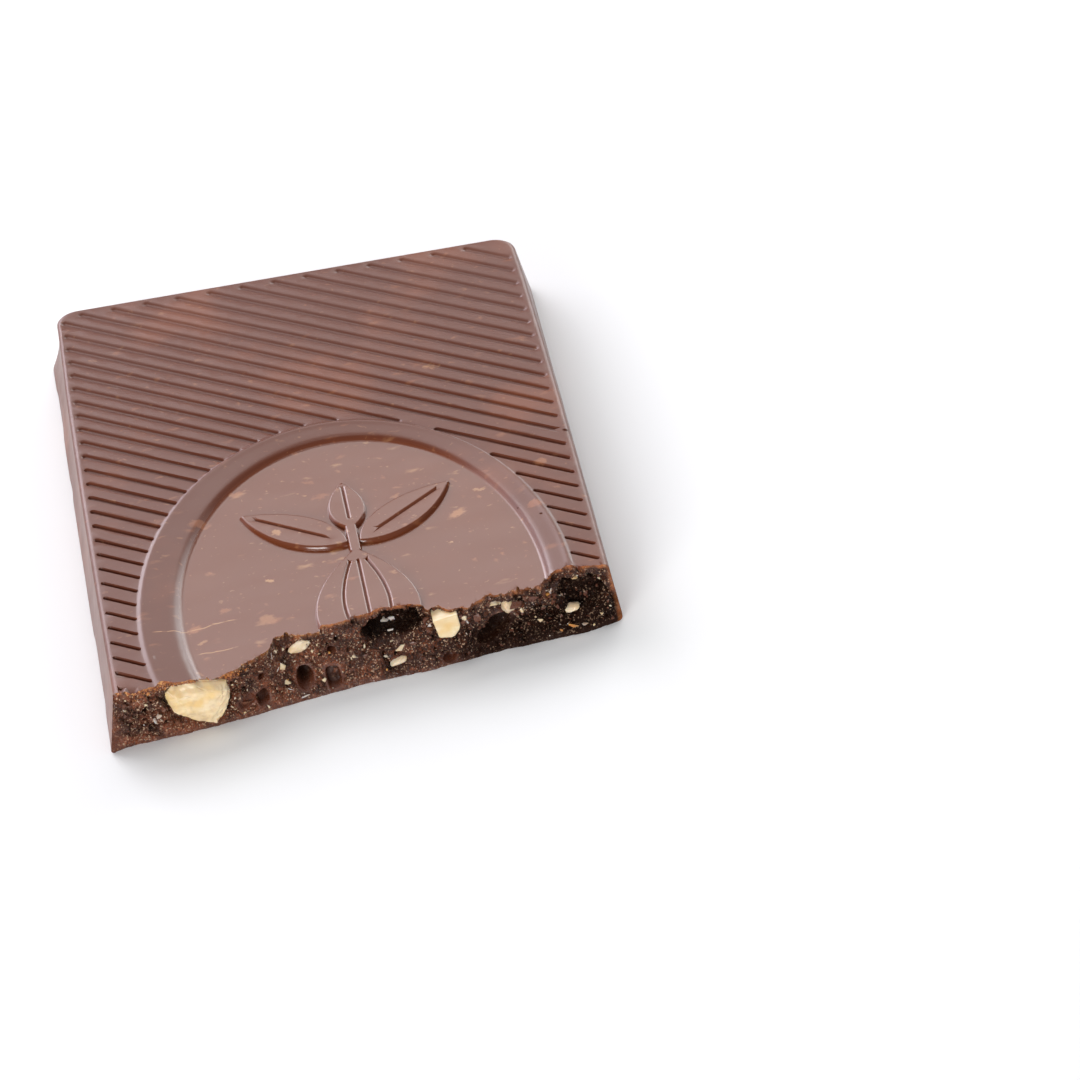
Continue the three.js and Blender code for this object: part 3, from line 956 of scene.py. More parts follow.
            side /= np.linalg.norm(tangent, axis=1, keepdims=True)
            for away in self.vein_rings:
                lines.append((fine + side * away + centre, False))
        return lines

    @staticmethod
    def resample(loop: Array, step: float, closed: bool = True) -> Array:
        """Spreads points evenly along a line.

        Args:
            loop: Points of the line.
            step: Wanted distance between points.
            closed: Whether the line returns to its start.

        Returns:
            The new points.
        """
        path = np.vstack([loop, loop[:1]]) if closed else loop
        run = np.concatenate([[0], np.cumsum(np.linalg.norm(np.diff(path, axis=0), axis=1))])
        spots = np.linspace(0, run[-1], max(4, round(run[-1] / step)), endpoint=not closed)
        return np.stack([np.interp(spots, run, path[:, 0]), np.interp(spots, run, path[:, 1])], axis=1)

    @staticmethod
    def runs(points: Array, keep: Array) -> list[Array]:
        """Cuts a line into the stretches whose points are kept.

        Args:
            points: Points of the line.
            keep: Whether each point is kept.

        Returns:
            The stretches, as rows of points.
        """
        found, current = [], []
        for point, kept in zip(points, keep):
            if kept:
                current.append(point)
            elif current:
                found.append(np.array(current))
                current = []
        if current:
            found.append(np.array(current))
        return found

    def cap(
        self, edge: Array, lines: list[tuple[Array, bool]], spacing: float, clear: float
    ) -> tuple[Array, list, list]:
        """Fills the inside of a closed edge with triangles.

        Args:
            edge: Points of the edge, anticlockwise.
            lines: Lines of points inside that edges follow.
            spacing: Distance between the filling points.
            clear: Least distance of the filling from the edge.

        Returns:
            The places of all points, the triangles, and for each point its number on the edge or -1.
        """
        points = [edge]
        edges = [(i, (i + 1) % len(edge)) for i in range(len(edge))]
        total = len(edge)
        low, high = edge.min(axis=0), edge.max(axis=0)
        mesh = np.meshgrid(np.arange(low[0], high[0], spacing), np.arange(low[1], high[1], spacing))
        gx, gy = (part.ravel() for part in mesh)
        wobble = 0.3 * spacing
        grid = np.stack([gx + wobble * bumps(gx, gy, 1.7), gy + wobble * bumps(gy, gx, 1.3)], axis=1)
        jobs = [(line, closed, True) for line, closed in lines] + [(grid, False, False)]
        near_edge = self.edge_test(edge, clear)
        for line, closed, joined in jobs:
            keep = near_edge(line)
            index = np.full(len(line), -1)
            index[keep] = total + np.arange(keep.sum())
            points.append(line[keep])
            total += int(keep.sum())
            if joined:
                last = len(line) if closed else len(line) - 1
                for i in range(last):
                    a, b = index[i], index[(i + 1) % len(line)]
                    if a >= 0 and b >= 0:
                        edges.append((int(a), int(b)))
        flat = np.vstack(points)
        found = delaunay_2d_cdt([Vector(p) for p in flat.tolist()], edges, [], 1, 1e-5)
        verts, _, faces, origin, _, _ = found
        place = np.array([tuple(v) for v in verts])
        number = [next((o for o in source if o < len(edge)), -1) for source in origin]
        return place, faces, number

    @staticmethod
    def edge_test(edge: Array, clear: float) -> Callable[[Array], Array]:
        """Makes a test for places that lie inside an edge and clear of it.

        Args:
            edge: Points of the edge.
            clear: Least distance from the edge.

        Returns:
            A function that says for each of its places whether it is kept.
        """
        loop = np.vstack([edge, edge[:1]])
        half = edge[:, 0].max() - clear * 2
        near = loop[:, 1] < -70
        order = [i for i in range(len(edge)) if near[i]]
        rim = edge[order][np.argsort(edge[order][:, 0])]

        def test(points: Array) -> Array:
            """Says which places are kept.

            Args:
                points: The places, one row each.

            Returns:
                True for each kept place.
            """
            x, y = points[:, 0], points[:, 1]
            close = y < np.interp(x, rim[:, 0], rim[:, 1]) + 2.5
            keep = inside(x, y, edge)
            todo = keep & (close | (np.abs(x) > half - 1) | (y > edge[:, 1].max() - 4))
            if todo.any():
                away = np.full(len(x), 9.0)
                chunk = np.where(todo)[0]
                for a, b in zip(loop[:-1], loop[1:]):
                    near_x, near_y = (np.abs(part[chunk] - end) < clear + 2 for part, end in zip((x, y), a))
                    pick = chunk[near_x & near_y]
                    if len(pick):
                        reach = segment_distance(x[pick], y[pick], np.array([a, b]))
                        away[pick] = np.minimum(away[pick], reach)
                keep &= away > clear
            return keep

        return test

    def build(self) -> bpy.types.Object:
        """Builds the closed mesh.

        Returns:
            The new object, with the skin in slot 0 and the broken face in slot 1.
        """
        belt, count = self.belt()
        belt[:, :, 0] = np.clip(belt[:, :, 0], CAD_LOW.x / MM, CAD_HIGH.x / MM)
        belt[:, :, 1] = np.maximum(belt[:, :, 1], CAD_LOW.y / MM - self.shift().y)
        self.rough_sides(belt, count)
        rows, columns = belt.shape[:2]
        verts = belt.reshape(-1, 3).tolist()
        faces, slots = [], []
        for r in range(rows - 1):
            for c in range(columns):
                n = (c + 1) % columns
                low, high = r * columns, (r + 1) * columns
                faces.append((low + c, high + c, high + n, low + n))
                slots.append(0 if c < count - 1 else 1)
        top_row = (rows - 1) * columns
        top_edge = belt[-1, ::-1, :2]
        lines = self.face_points(top_edge)
        place, tris, number = self.cap(top_edge, lines, self.face_spacing, self.face_clear)
        height = self.face.height(place[:, 0], place[:, 1])
        index = []
        for i, n in enumerate(number):
            if n >= 0:
                index.append(top_row + columns - 1 - n)
            else:
                index.append(len(verts))
                verts.append((place[i, 0], place[i, 1], float(height[i])))
        faces += [tuple(index[i] for i in tri) for tri in tris]
        slots += [0] * len(tris)
        base_edge = belt[0, ::-1, :2]
        place, tris, number = self.cap(base_edge, [], self.base_spacing, self.base_clear)
        index = []
        for i, n in enumerate(number):
            if n >= 0:
                index.append(columns - 1 - n)
            else:
                index.append(len(verts))
                x, y = place[i, :1], place[i, 1:2]
                dent = self.base_dent * (1 + bumps(x, y, 6.0)[0])
                verts.append((place[i, 0], place[i, 1], dent))
        faces += [tuple(index[i] for i in reversed(tri)) for tri in tris]
        slots += [0] * len(tris)
        shift = self.shift()
        body = make_object("chocolate_body", [tuple((Vector(v) + shift) * MM) for v in verts], faces)
        body.data.polygons.foreach_set("material_index", slots)
        self.mark(body, belt, count, len(verts))
        body.data.polygons.foreach_set("use_smooth", [True] * len(faces))
        body.data.set_sharp_from_angle(angle=self.crease)
        return body

    def mark(self, body: bpy.types.Object, belt: Array, count: int, total: int) -> None:
        """Writes the marks that the finishes read.

        They are the nearness to the rim and to the right end, where the finish paints light, the depth of
        pits with the shade under the overhang, where it paints shade, how crumbly a place is, the medallion,
        its ring, the sides, whose frost is partly a painted sheen, and the pressed lines, where it paints
        shade.

        Args:
            body: The mesh object.
            belt: Rows of points round the bar.
            count: Columns that belong to the side.
            total: Number of points of the mesh.
        """
        x, z = belt[:, :, 0], belt[:, :, 2]
        under = belt[-1:, :, 2] - z
        # Nearness to the top edge, where the finish paints the crust with painted light from above
        rim = 1 - smooth(under + 0.2 * bumps(x, z, 0.6), 0.05, 0.5)
        # The right end's edge gets the same painted light as the rim
        end = self.face.width / 2 + self.outset(z) + self.belly(self.right_belly, x * 0 - 81.0, z)
        right = 1 - smooth(end - x + 0.15 * bumps(x, z, 0.8), 0.1, 0.75)
        broken = np.ones(x.shape)
        broken[:, :count] = 0
        marks = {
            "rim": np.maximum(rim, 0.65 * right) * broken,
            "pit_shade": self.broken.pits(x, z) * broken,
            "crumb": self.broken.crumb_share(x, z) * broken,
        }
        for name, mark in marks.items():
            marks[name] = np.zeros(total)
            marks[name][: mark.size] = mark.ravel()
        place = np.zeros(total * 3)
        body.data.vertices.foreach_get("co", place)
        place = place.reshape(-1, 3) / MM - np.array(self.shift())
        on_top = place[:, 2] > self.top_from
        share = self.face.band_share(place[:, 0], place[:, 1])
        medal = smooth(share, 0.82, 1.0) * on_top
        band = smooth(share, -0.12, -0.02) * on_top
        past_edge = np.maximum(np.abs(place[:, 0]) - self.face.width / 2 + 0.5, place[:, 1] + 0.6)
        side = smooth(past_edge, 0.0, 0.45)
        # Nearness to the pressed lines, where the finish paints shade
        away = self.face.line_distance(place[:, 0], place[:, 1]) / self.face.grooves.half_at(place[:, 1])
        groove = smooth(1.1 - away, 0.0, 0.7) * on_top
        marks |= {"medal": medal, "band": band, "side": side, "groove": groove}
        for name, values in marks.items():
            body.data.attributes.new(name, "FLOAT", "POINT").data.foreach_set("value", values)


def make_object(name: str, verts: list, faces: list) -> bpy.types.Object:
    """Makes a mesh object at the origin and links it.

    Args:
        name: Name of the piece.
        verts: Points in metres.
        faces: Faces as lists of point numbers.

    Returns:
        The new object.
    """
    mesh = bpy.data.meshes.new(name)
    mesh.from_pydata(verts, [], faces)
    mesh.validate()
    mesh.update()
    made = bpy.data.objects.new(name, mesh)
    bpy.context.scene.collection.objects.link(made)
    return made


# Nuts and crumbs


def make_hull(corners: list) -> bmesh.types.BMesh:
    """Wraps a closed hull round points.

    Args:
        corners: The points.

    Returns:
        The hull, to be freed after use.
    """
    bm = bmesh.new()
    for corner in corners:
        bm.verts.new(corner)
    hull = bmesh.ops.convex_hull(bm, input=bm.verts)
    inner = dict.fromkeys(hull["geom_interior"] + hull["geom_unused"])
    loose = [part for part in inner if isinstance(part, bmesh.types.BMVert)]
    bmesh.ops.delete(bm, geom=loose, context="VERTS")
    return bm


@dataclass(frozen=True)
class Nut:
    """A chopped piece of nut that stands in the broken face."""

    node: str
    x: float
    z: float
    behind: float
    width: float
    height: float
    depth: float
    seed: int
    points: int = 22
    square: float = 0.0
    tilt: float = 0.0
    lumps: float = 0.05
    boxy_from: float = 0.7
    box_corners: tuple[tuple[float, float, float], ...] = (
        (-1, 1, 1), (1, 1, 1), (1, -1, 1), (-1, -1, 0.9), (-0.85, -1, -0.7), (1, -1, -0.2), (0.2, -1, -1),
    )

    def corners(self, broken: Break) -> list[Vector]:
        """Corner points scattered over a ball, squared off, stretched to size and tilted.

        Args:
            broken: The broken face that it stands in.

        Returns:
            The points, in the bar frame.
        """
        middle = float(broken.plane(np.array([self.x]), np.array([self.z]))[0]) + self.behind
        c, s = math.cos(self.tilt), math.sin(self.tilt)
        offsets = []
        for i in range(self.points):
            up = 1 - 2 * (i + 0.5) / self.points
            angle = i * math.pi * (3 - math.sqrt(5)) + float(scatter(np.float64(self.seed), np.float64(i)))
            size = 0.82 + 0.18 * float(scatter(np.float64(i), np.float64(self.seed)))
            flat = math.sqrt(1 - up * up)
            ball = np.array([flat * math.cos(angle), flat * math.sin(angle), up])
            ball *= size * (1 - self.square + self.square / np.abs(ball).max() * 0.95)
            offsets.append(ball * [self.width / 2, self.depth / 2, self.height / 2])
        if self.square > self.boxy_from:
            half = Vector((self.width, self.depth, self.height)) * 0.45
            offsets += [(sx * half.x, sy * half.y, sz * half.z) for sx, sy, sz in self.box_corners]
        return [
            Vector((self.x + across * c - high * s, middle + forward, self.z + across * s + high * c))
            for across, forward, high in offsets
        ]


@dataclass(frozen=True)
class BigNut:
    """The large piece of nut near the left end of the break."""

    node: str = "nut_large"
    x: float = -20.7
    z: float = 4.2
    behind: float = 0.6
    front: float = 1.45
    back: float = 3.2
    seed: int = 2
    lumps: float = 0.13
    outline: Stations = (
        (-4.8, 2.8), (-1.9, 3.4), (0.9, 2.9), (3.5, 2.3), (3.9, 0.9), (3.3, -1.0), (2.7, -2.3),
        (1.5, -3.9), (0.0, -3.2), (-1.6, -2.6), (-3.7, -0.8), (-4.6, 1.5),
    )
    ridge: Stations = ((-2.9, 1.4), (-0.8, 1.1), (0.9, 1.9), (2.6, 1.6))
    facet: Stations = ((-1.9, -0.7), (0.5, -2.1), (2.1, -1.3), (2.7, 0.4))
    lean: float = 0.35

    def corners(self, broken: Break) -> list[Vector]:
        """Corner points of its outline, the ridge across its front and its smaller back.

        Args:
            broken: The broken face that it stands in.

        Returns:
            The points, in the bar frame.
        """
        middle = float(broken.plane(np.array([self.x]), np.array([self.z]))[0]) + self.behind
        slices = ((0.97, -0.75), (1.0, 0.0), (0.9, self.back * 0.5), (0.55, self.back))
        found = []
        for share, y in slices:
            for dx, dz in self.outline:
                back = self.lean * max(dz - 1.0, 0.0) if y <= 0 else 0.0
                found.append(Vector((self.x + dx * share, middle + y + back, self.z + dz * share)))
        found += [Vector((self.x + dx, middle - self.front, self.z + dz)) for dx, dz in self.ridge]
        found += [Vector((self.x + dx, middle - self.front * 0.9, self.z + dz)) for dx, dz in self.facet]
        return found


@dataclass
class NutPieces:
    """All the nut pieces that are nodes of their own."""

    broken: Break
    shift: Vector
    edge: float = 0.09
    flat_angle: float = math.radians(6)
    longest_edge: float = 0.28
    halvings: int = 3
    crease: float = math.radians(50)

    def build(self, nut: Nut | BigNut) -> bpy.types.Object:
        """Makes one piece with softened edges and a slightly uneven surface.

        Args:
            nut: The piece's place and size.

        Returns:
            The new object.
        """
        bm = make_hull(nut.corners(self.broken))
        bmesh.ops.dissolve_limit(bm, angle_limit=self.flat_angle, verts=bm.verts, edges=bm.edges)
        bmesh.ops.bevel(
            bm, geom=list(bm.edges), offset=self.edge, segments=2, affect="EDGES", clamp_overlap=True
        )
        bmesh.ops.triangulate(bm, faces=bm.faces)
        for _ in range(self.halvings):
            long = [e for e in bm.edges if e.calc_length() > self.longest_edge]
            bmesh.ops.subdivide_edges(bm, edges=long, cuts=1, use_grid_fill=False)
            bmesh.ops.triangulate(bm, faces=bm.faces)
        bm.normal_update()
        co = np.array([v.co[:] for v in bm.verts])
        across, high = co[:, 0] + 0.4 * co[:, 1], co[:, 2] + nut.seed
        lump = bumps(across, high, 1.3) + 0.7 * bumps(across + high, 2.5 * (high - across), 0.8)
        lump += 0.4 * bumps(across, high, 0.3)
        for vert, push in zip(bm.verts, lump):
            vert.co += vert.normal * ((float(push) - 1) * nut.lumps)
        bmesh.ops.translate(bm, verts=bm.verts, vec=self.shift)
        bmesh.ops.scale(bm, verts=bm.verts, vec=(MM, MM, MM))
        low_y = min(v.co.y for v in bm.verts)
        if low_y < CAD_LOW.y:
            bmesh.ops.translate(bm, verts=bm.verts, vec=(0, CAD_LOW.y - low_y, 0))
        name = nut.node.replace("nut", "nut_piece", 1)
        mesh = bpy.data.meshes.new(name)
        bm.to_mesh(mesh)
        bm.free()
        piece = bpy.data.objects.new(name, mesh)
        bpy.context.scene.collection.objects.link(piece)
        mesh.polygons.foreach_set("use_smooth", [True] * len(mesh.polygons))
        mesh.set_sharp_from_angle(angle=self.crease)
        return piece


@dataclass(frozen=True)
class Chip:
    """One small chip on the broken face: its place, half width, half height and tilt."""

    x: float
    z: float
    wide: float
    high: float
    tilt: float = 0.0


@dataclass
class Chips:
    """Many small chips stuck to the broken face, as one mesh."""

    name: str
    broken: Break
    shift: Vector
    count: int
    smallest: float
    largest: float
    seed: int
    stretch: float = 1.6
    rim_share: float = 0.0
    set_out: float = 0.1
    taper: float = 2.5
    low_x: float = -31.3
    high_x: float = 31.3
    heights: tuple[float, float] = (0.5, 7.3)
    rim_heights: tuple[float, float] = (7.4, 8.1)
    tilts: tuple[float, float] = (-1.5, 1.5)
    nods: tuple[float, float] = (-0.6, 0.6)
    corner_count: int = 9
    named: tuple[Chip, ...] = ()

    def chips(self, draw: np.random.Generator) -> list[Chip]:
        """All chips: the named ones, then the scattered ones, some of them along the rim.

        Args:
            draw: Where the random numbers come from.

        Returns:
            The chips.
        """
        found = list(self.named)
        for i in range(self.count):
            size = self.smallest + (self.largest - self.smallest) * draw.random() ** self.taper
            x = draw.uniform(self.low_x, self.high_x)
            z = draw.uniform(*(self.rim_heights if i < self.count * self.rim_share else self.heights))
            keep = float(self.broken.crumb_share(np.array([x]), np.array([z]))[0])
            if draw.random() < keep + 0.1:
                wide = size * draw.uniform(0.7, self.stretch)
                found.append(Chip(x, z, wide, size, draw.uniform(*self.tilts)))
        return found

    def build(self) -> bpy.types.Object:
        """Makes the chips as small closed hulls.

        Returns:
            The new object.
        """
        draw = np.random.default_rng(self.seed)
        chips = self.chips(draw)
        xs, zs = np.array([c.x for c in chips]), np.array([c.z for c in chips])
        sink = self.broken.face.thickness - self.broken.face.height(xs, self.broken.surface(xs, zs))
        zs = zs - np.maximum(sink, 0) * (zs > 6)
        depth = self.broken.surface(xs, zs)
        verts, faces = [], []
        for chip, y, z in zip(chips, depth, zs):
            thick = min(chip.wide, chip.high)
            corners = []
            for _ in range(self.corner_count):
                ball = draw.normal(size=3)
                ball /= np.linalg.norm(ball)
                corners.append(ball * [chip.wide, thick * draw.uniform(0.6, 1.0), chip.high])
            bm = make_hull(corners)
            bm.verts.index_update()
            nod = Matrix.Rotation(draw.uniform(*self.nods), 3, "X")
            turn = Matrix.Rotation(-chip.tilt, 3, "Y") @ nod
            middle = Vector((chip.x, float(y) - self.set_out * thick, float(z)))
            start = len(verts)
            placed = [(turn @ v.co + middle + self.shift) * MM for v in bm.verts]
            verts += [(p.x, max(p.y, CAD_LOW.y), max(p.z, 0.0)) for p in placed]
            faces += [tuple(start + v.index for v in f.verts) for f in bm.faces]
            bm.free()
        return make_object(self.name, verts, faces)


# Shader groups and finishes


@dataclass
class Wiring:
    """Adds nodes to a tree and joins them."""

    tree: bpy.types.NodeTree

    def join(self, node: bpy.types.Node, values: dict) -> None:
        """Joins sockets to the inputs of a node, or sets the inputs to plain values.

        Args:
            node: The node.
            values: Sockets or plain values, by the input's name or number.
        """
        for key, value in values.items():
            if isinstance(value, Socket):
                self.tree.links.new(value, node.inputs[key])
            else:
                node.inputs[key].default_value = value

    def node(self, kind: str, values: dict | None = None, **settings: object) -> bpy.types.Node:
        """Adds a node.

        Args:
            kind: Blender's name of the node.
            values: Sockets or plain values, by the input's name or number.
            settings: Properties of the node.

        Returns:
            The new node.
        """
        made = self.tree.nodes.new(kind)
        for key, value in settings.items():
            setattr(made, key, value)
        self.join(made, values or {})
        return made

    def math(self, operation: str, *values: Input) -> Socket:
        """Adds a Math node and gives its output."""
        return self.node("ShaderNodeMath", dict(enumerate(values)), operation=operation).outputs[0]

    def times(self, first: Input, *others: Input) -> Input:
        """Multiplies values, one after another.

        Args:
            first: The first value.
            others: What it is multiplied by.

        Returns:
            The product.
        """
        for value in others:
            first = self.math("MULTIPLY", first, value)
        return first

    def plus(self, first: Input, second: Input) -> Socket:
        """Adds two values."""
        return self.math("ADD", first, second)

    def minus(self, first: Input, second: Input) -> Socket:
        """Takes the second value from the first."""
        return self.math("SUBTRACT", first, second)

    def vector(self, operation: str, first: Socket, second: Socket | tuple[float, float, float]) -> Socket:
        """Adds a Vector Math node and gives its output."""
        return self.node("ShaderNodeVectorMath", {0: first, 1: second}, operation=operation).outputs[0]

    def remap(
        self, value: Socket, low: float, high: float, to_low: float = 0.0, to_high: float = 1.0
    ) -> Socket:
        """Moves a value smoothly from one span to another.

        Args:
            value: The value.
            low: Where the old span starts.
            high: Where it ends.
            to_low: What the value is at low.
            to_high: What it is at high.

        Returns:
            The new value.
        """
        spans = {"From Min": low, "From Max": high, "To Min": to_low, "To Max": to_high}
        made = self.node("ShaderNodeMapRange", {"Value": value, **spans}, interpolation_type="SMOOTHSTEP")
        return made.outputs["Result"]

    def clouds(self, vector: Socket, scale: Input, detail: float, roughness: float = 0.5) -> bpy.types.Node:
        """Adds a Noise Texture."""
        values = {"Vector": vector, "Scale": scale, "Detail": detail, "Roughness": roughness}
        return self.node("ShaderNodeTexNoise", values)

    def noise(self, vector: Socket, scale: Input, detail: float = 2.0, roughness: float = 0.5) -> Socket:
        """Adds a Noise Texture and gives its value."""
        return self.clouds(vector, scale, detail, roughness).outputs["Fac"]

    def jitter(
        self, place: Socket, reach: tuple[float, float, float], scale: float, detail: float,
        roughness: float = 0.5,
    ) -> Socket:
        """Moves places about by noise.

        Args:
            place: The places.
            reach: Width of the move in each direction, in metres.
            scale: Scale of the noise.
            detail: Its detail.
            roughness: Its roughness.

        Returns:
            The moved places.
        """
        colour = self.clouds(place, scale, detail, roughness).outputs["Color"]
        shift = self.vector("SUBTRACT", colour, (0.5, 0.5, 0.5))
        return self.vector("ADD", place, self.vector("MULTIPLY", shift, reach))

    def mix(self, share: Input, first: Socket | Colour, second: Socket | Colour) -> Socket:
        """Mixes two colours and gives the result."""
        return self.node("ShaderNodeMix", {0: share, 6: first, 7: second}, data_type="RGBA").outputs[2]

    def mark(self, name: str) -> Socket:
        """Reads a mark that was written to the mesh."""
        return self.node("ShaderNodeAttribute", attribute_name=name).outputs["Fac"]

    def bump(self, height: Socket, strength: Input, distance: float) -> Socket:
        """Adds a Bump node and gives its normal."""
        values = {"Height": height, "Strength": strength, "Distance": distance}
        return self.node("ShaderNodeBump", values).outputs[0]

    def stretched(self, place: Socket, scale: tuple[float, float, float], turn: float) -> Socket:
        """Turns coordinates and stretches what is drawn on them by a scale."""
        values = {"Vector": place, "Rotation": (0, 0, turn), "Scale": scale}
        return self.node("ShaderNodeMapping", values, vector_type="TEXTURE").outputs[0]

    def group(self, tree: bpy.types.NodeTree, place: Socket, values: dict[str, float]) -> Outputs:
        """Places a shader group with its own values and gives its outputs."""
        return self.node("ShaderNodeGroup", {"Vector": place, **values}, node_tree=tree).outputs

    def local(self, source: Outputs) -> tuple[Socket, Socket, Socket]:
        """Measures places from a group's point X, Y, along its direction Turn.

        Args:
            source: The group's inputs.

        Returns:
            The turned places, and their parts along and across.
        """
        start = self.node("ShaderNodeCombineXYZ", {"X": source["X"], "Y": source["Y"]}).outputs[0]
        values = {"Vector": self.vector("SUBTRACT", source["Vector"], start), "Angle": source["Turn"]}
        turned = self.node("ShaderNodeVectorRotate", values, rotation_type="Z_AXIS").outputs[0]
        split = self.node("ShaderNodeSeparateXYZ", {0: turned}).outputs
        return turned, split["X"], split["Y"]

    def put_out(self, **values: Socket) -> bpy.types.NodeTree:
        """Joins values to the group's outputs of the same names and gives the group."""
        self.join(self.tree.nodes["out"], values)
        return self.tree


def open_group(name: str, outputs: tuple[str, ...], **inputs: float) -> tuple[Wiring, Outputs]:
    """Starts a shader node group with named sockets.

    Args:
        name: Name of the group.
        outputs: Names of the values that it puts out.
        inputs: Names of the values that it takes and their defaults. It takes a Vector too.

    Returns:
        The wiring of the new group, and what it takes in.
    """
    group = bpy.data.node_groups.new(name, "ShaderNodeTree")
    group.interface.new_socket("Vector", in_out="INPUT", socket_type="NodeSocketVector")
    for key, value in inputs.items():
        group.interface.new_socket(key, in_out="INPUT", socket_type="NodeSocketFloat").default_value = value
    for key in outputs:
        group.interface.new_socket(key, in_out="OUTPUT", socket_type="NodeSocketFloat")
    taken = group.nodes.new("NodeGroupInput")
    group.nodes.new("NodeGroupOutput").name = "out"
    return Wiring(group), taken.outputs


# How far noise moves the outlines of flecks, spots, crumbs and scratches, in metres
FLECK_WANDER = (0.0014, 0.0014, 0.0014)
SPOT_WANDER = (0.0024, 0.0024, 0)
CRUMB_WANDER = (0.00025, 0.00025, 0.00025)
SCRATCH_WANDER = 0.0022


def build_fleck_group() -> bpy.types.NodeTree:
    """Builds nut flecks that show through the surface: how strongly, and a random number for each.

    Returns:
        The node group.
    """
    w, source = open_group("fleck", ("Mask", "Own"), Scale=300.0, Share=0.2, Size=0.3)
    moved = w.jitter(source["Vector"], FLECK_WANDER, 1100.0, 2.0)
    values = {"Vector": moved, "Scale": source["Scale"], "Randomness": 1.0}
    cell = w.node("ShaderNodeTexVoronoi", values).outputs
    own = w.node("ShaderNodeSeparateColor", {"Color": cell["Color"]}).outputs
    there = w.math("LESS_THAN", own["Red"], source["Share"])
    reach = w.times(source["Size"], w.plus(0.35, own["Green"]))
    soft = w.minus(1.0, w.math("DIVIDE", cell["Distance"], reach))
    return w.put_out(Mask=w.times(w.remap(soft, 0.0, 0.9), there), Own=own["Blue"])


def build_grain_group() -> bpy.types.NodeTree:
    """Builds the fine unevenness of a surface as a height from 0 to 1.

    Returns:
        The node group.
    """
    w, source = open_group("grain", ("Height",), Fine=2500.0, Coarse=220.0, Balance=0.5)
    fine = w.noise(source["Vector"], source["Fine"], 3.0)
    coarse = w.noise(source["Vector"], source["Coarse"], 2.0)
    rest = w.minus(1.0, source["Balance"])
    return w.put_out(Height=w.plus(w.times(fine, source["Balance"]), w.times(coarse, rest)))


def build_hairline_group() -> bpy.types.NodeTree:
    """Builds one thin wavering scratch as a mask.

    Returns:
        The node group.
    """
    w, source = open_group("hairline", ("Mask",), X=0.0, Y=0.0, Turn=0.0, Length=0.01, Width=0.0001)
    turned, along_x, along_y = w.local(source)
    waver = w.times(w.minus(w.noise(turned, 160.0, 3.0), 0.5), SCRATCH_WANDER)
    away = w.math("ABSOLUTE", w.plus(along_y, waver))
    line = w.remap(w.minus(1.0, w.math("DIVIDE", away, source["Width"])), 0.0, 0.8)
    from_start = w.math("DIVIDE", along_x, source["Length"])
    inside_line = w.times(w.remap(from_start, 0.0, 0.08), w.remap(from_start, 1.0, 0.85))
    gaps = w.remap(w.noise(turned, 900.0, 2.0), 0.32, 0.48, 0.25, 1.0)
    return w.put_out(Mask=w.times(line, inside_line, gaps))


def build_spot_group() -> bpy.types.NodeTree:
    """Builds one soft ragged spot as a mask.

    Returns:
        The node group.
    """
    w, source = open_group("spot", ("Mask",), X=0.0, Y=0.0, Turn=0.0, Long=0.001, Wide=0.0005)
    _, along_x, along_y = w.local(source)
    u, v = w.math("DIVIDE", along_x, source["Long"]), w.math("DIVIDE", along_y, source["Wide"])
    return w.put_out(Mask=w.remap(w.plus(w.times(u, u), w.times(v, v)), 1.2, 0.1))


def build_crumb_group() -> bpy.types.NodeTree:
    """Builds packed fine crumbs: a random tone for each, the gaps between them, and their height.

    Returns:
        The node group.
    """
    w, source = open_group("crumbs", ("Tone", "Gap", "Height"), Scale=4000.0)
    moved = w.jitter(source["Vector"], CRUMB_WANDER, 3000.0, 1.0)
    values = {"Vector": moved, "Scale": source["Scale"]}
    cell = w.node("ShaderNodeTexVoronoi", values)
    edge = w.node("ShaderNodeTexVoronoi", values, feature="DISTANCE_TO_EDGE")
    own = w.node("ShaderNodeSeparateColor", {"Color": cell.outputs["Color"]}).outputs["Red"]
    gap = w.remap(edge.outputs["Distance"], 0.16, 0.0)
    height = w.minus(w.plus(w.times(own, 0.6), 0.4), w.times(gap, 0.5))
    return w.put_out(Tone=own, Gap=gap, Height=height)


@dataclass
class Effects:
    """The shared shader groups."""

    fleck: bpy.types.NodeTree = field(default_factory=build_fleck_group)
    grain: bpy.types.NodeTree = field(default_factory=build_grain_group)
    hairline: bpy.types.NodeTree = field(default_factory=build_hairline_group)
    crumb: bpy.types.NodeTree = field(default_factory=build_crumb_group)
    spot: bpy.types.NodeTree = field(default_factory=build_spot_group)


def start_material(name: str) -> tuple[bpy.types.Material, Wiring, bpy.types.Node, Socket]:
    """Starts a material with an empty Principled shader.

    Args:
        name: Name of the material.

    Returns:
        The material, its wiring, the shader, and object coordinates.
    """
    material = bpy.data.materials.new(name)
    material.use_nodes = True
    w = Wiring(material.node_tree)
    shader = next(n for n in material.node_tree.nodes if n.type == "BSDF_PRINCIPLED")
    return material, w, shader, w.node("ShaderNodeTexCoord").outputs["Object"]


@dataclass(frozen=True)
class Scratch:
    """A pale hairline on the face, from its left end, in the bar frame."""

    x: float
    y: float
    turn: float
    length: float
    width: float = 0.13


@dataclass(frozen=True)
class Spot:
    """One larger nut fleck under the surface, in the bar frame, from amber (0) to cream (1)."""

    x: float
    y: float
    long: float
    wide: float
    turn: float
    strength: float
    tone: float


@dataclass(frozen=True)
class Flecks:
    """One size of small nut flecks: how dense, how large, how stretched, how strong and how pale."""

    scale: float
    share: float
    size: float
    stretch: float
    turn: float
    strength: float
    pale: float


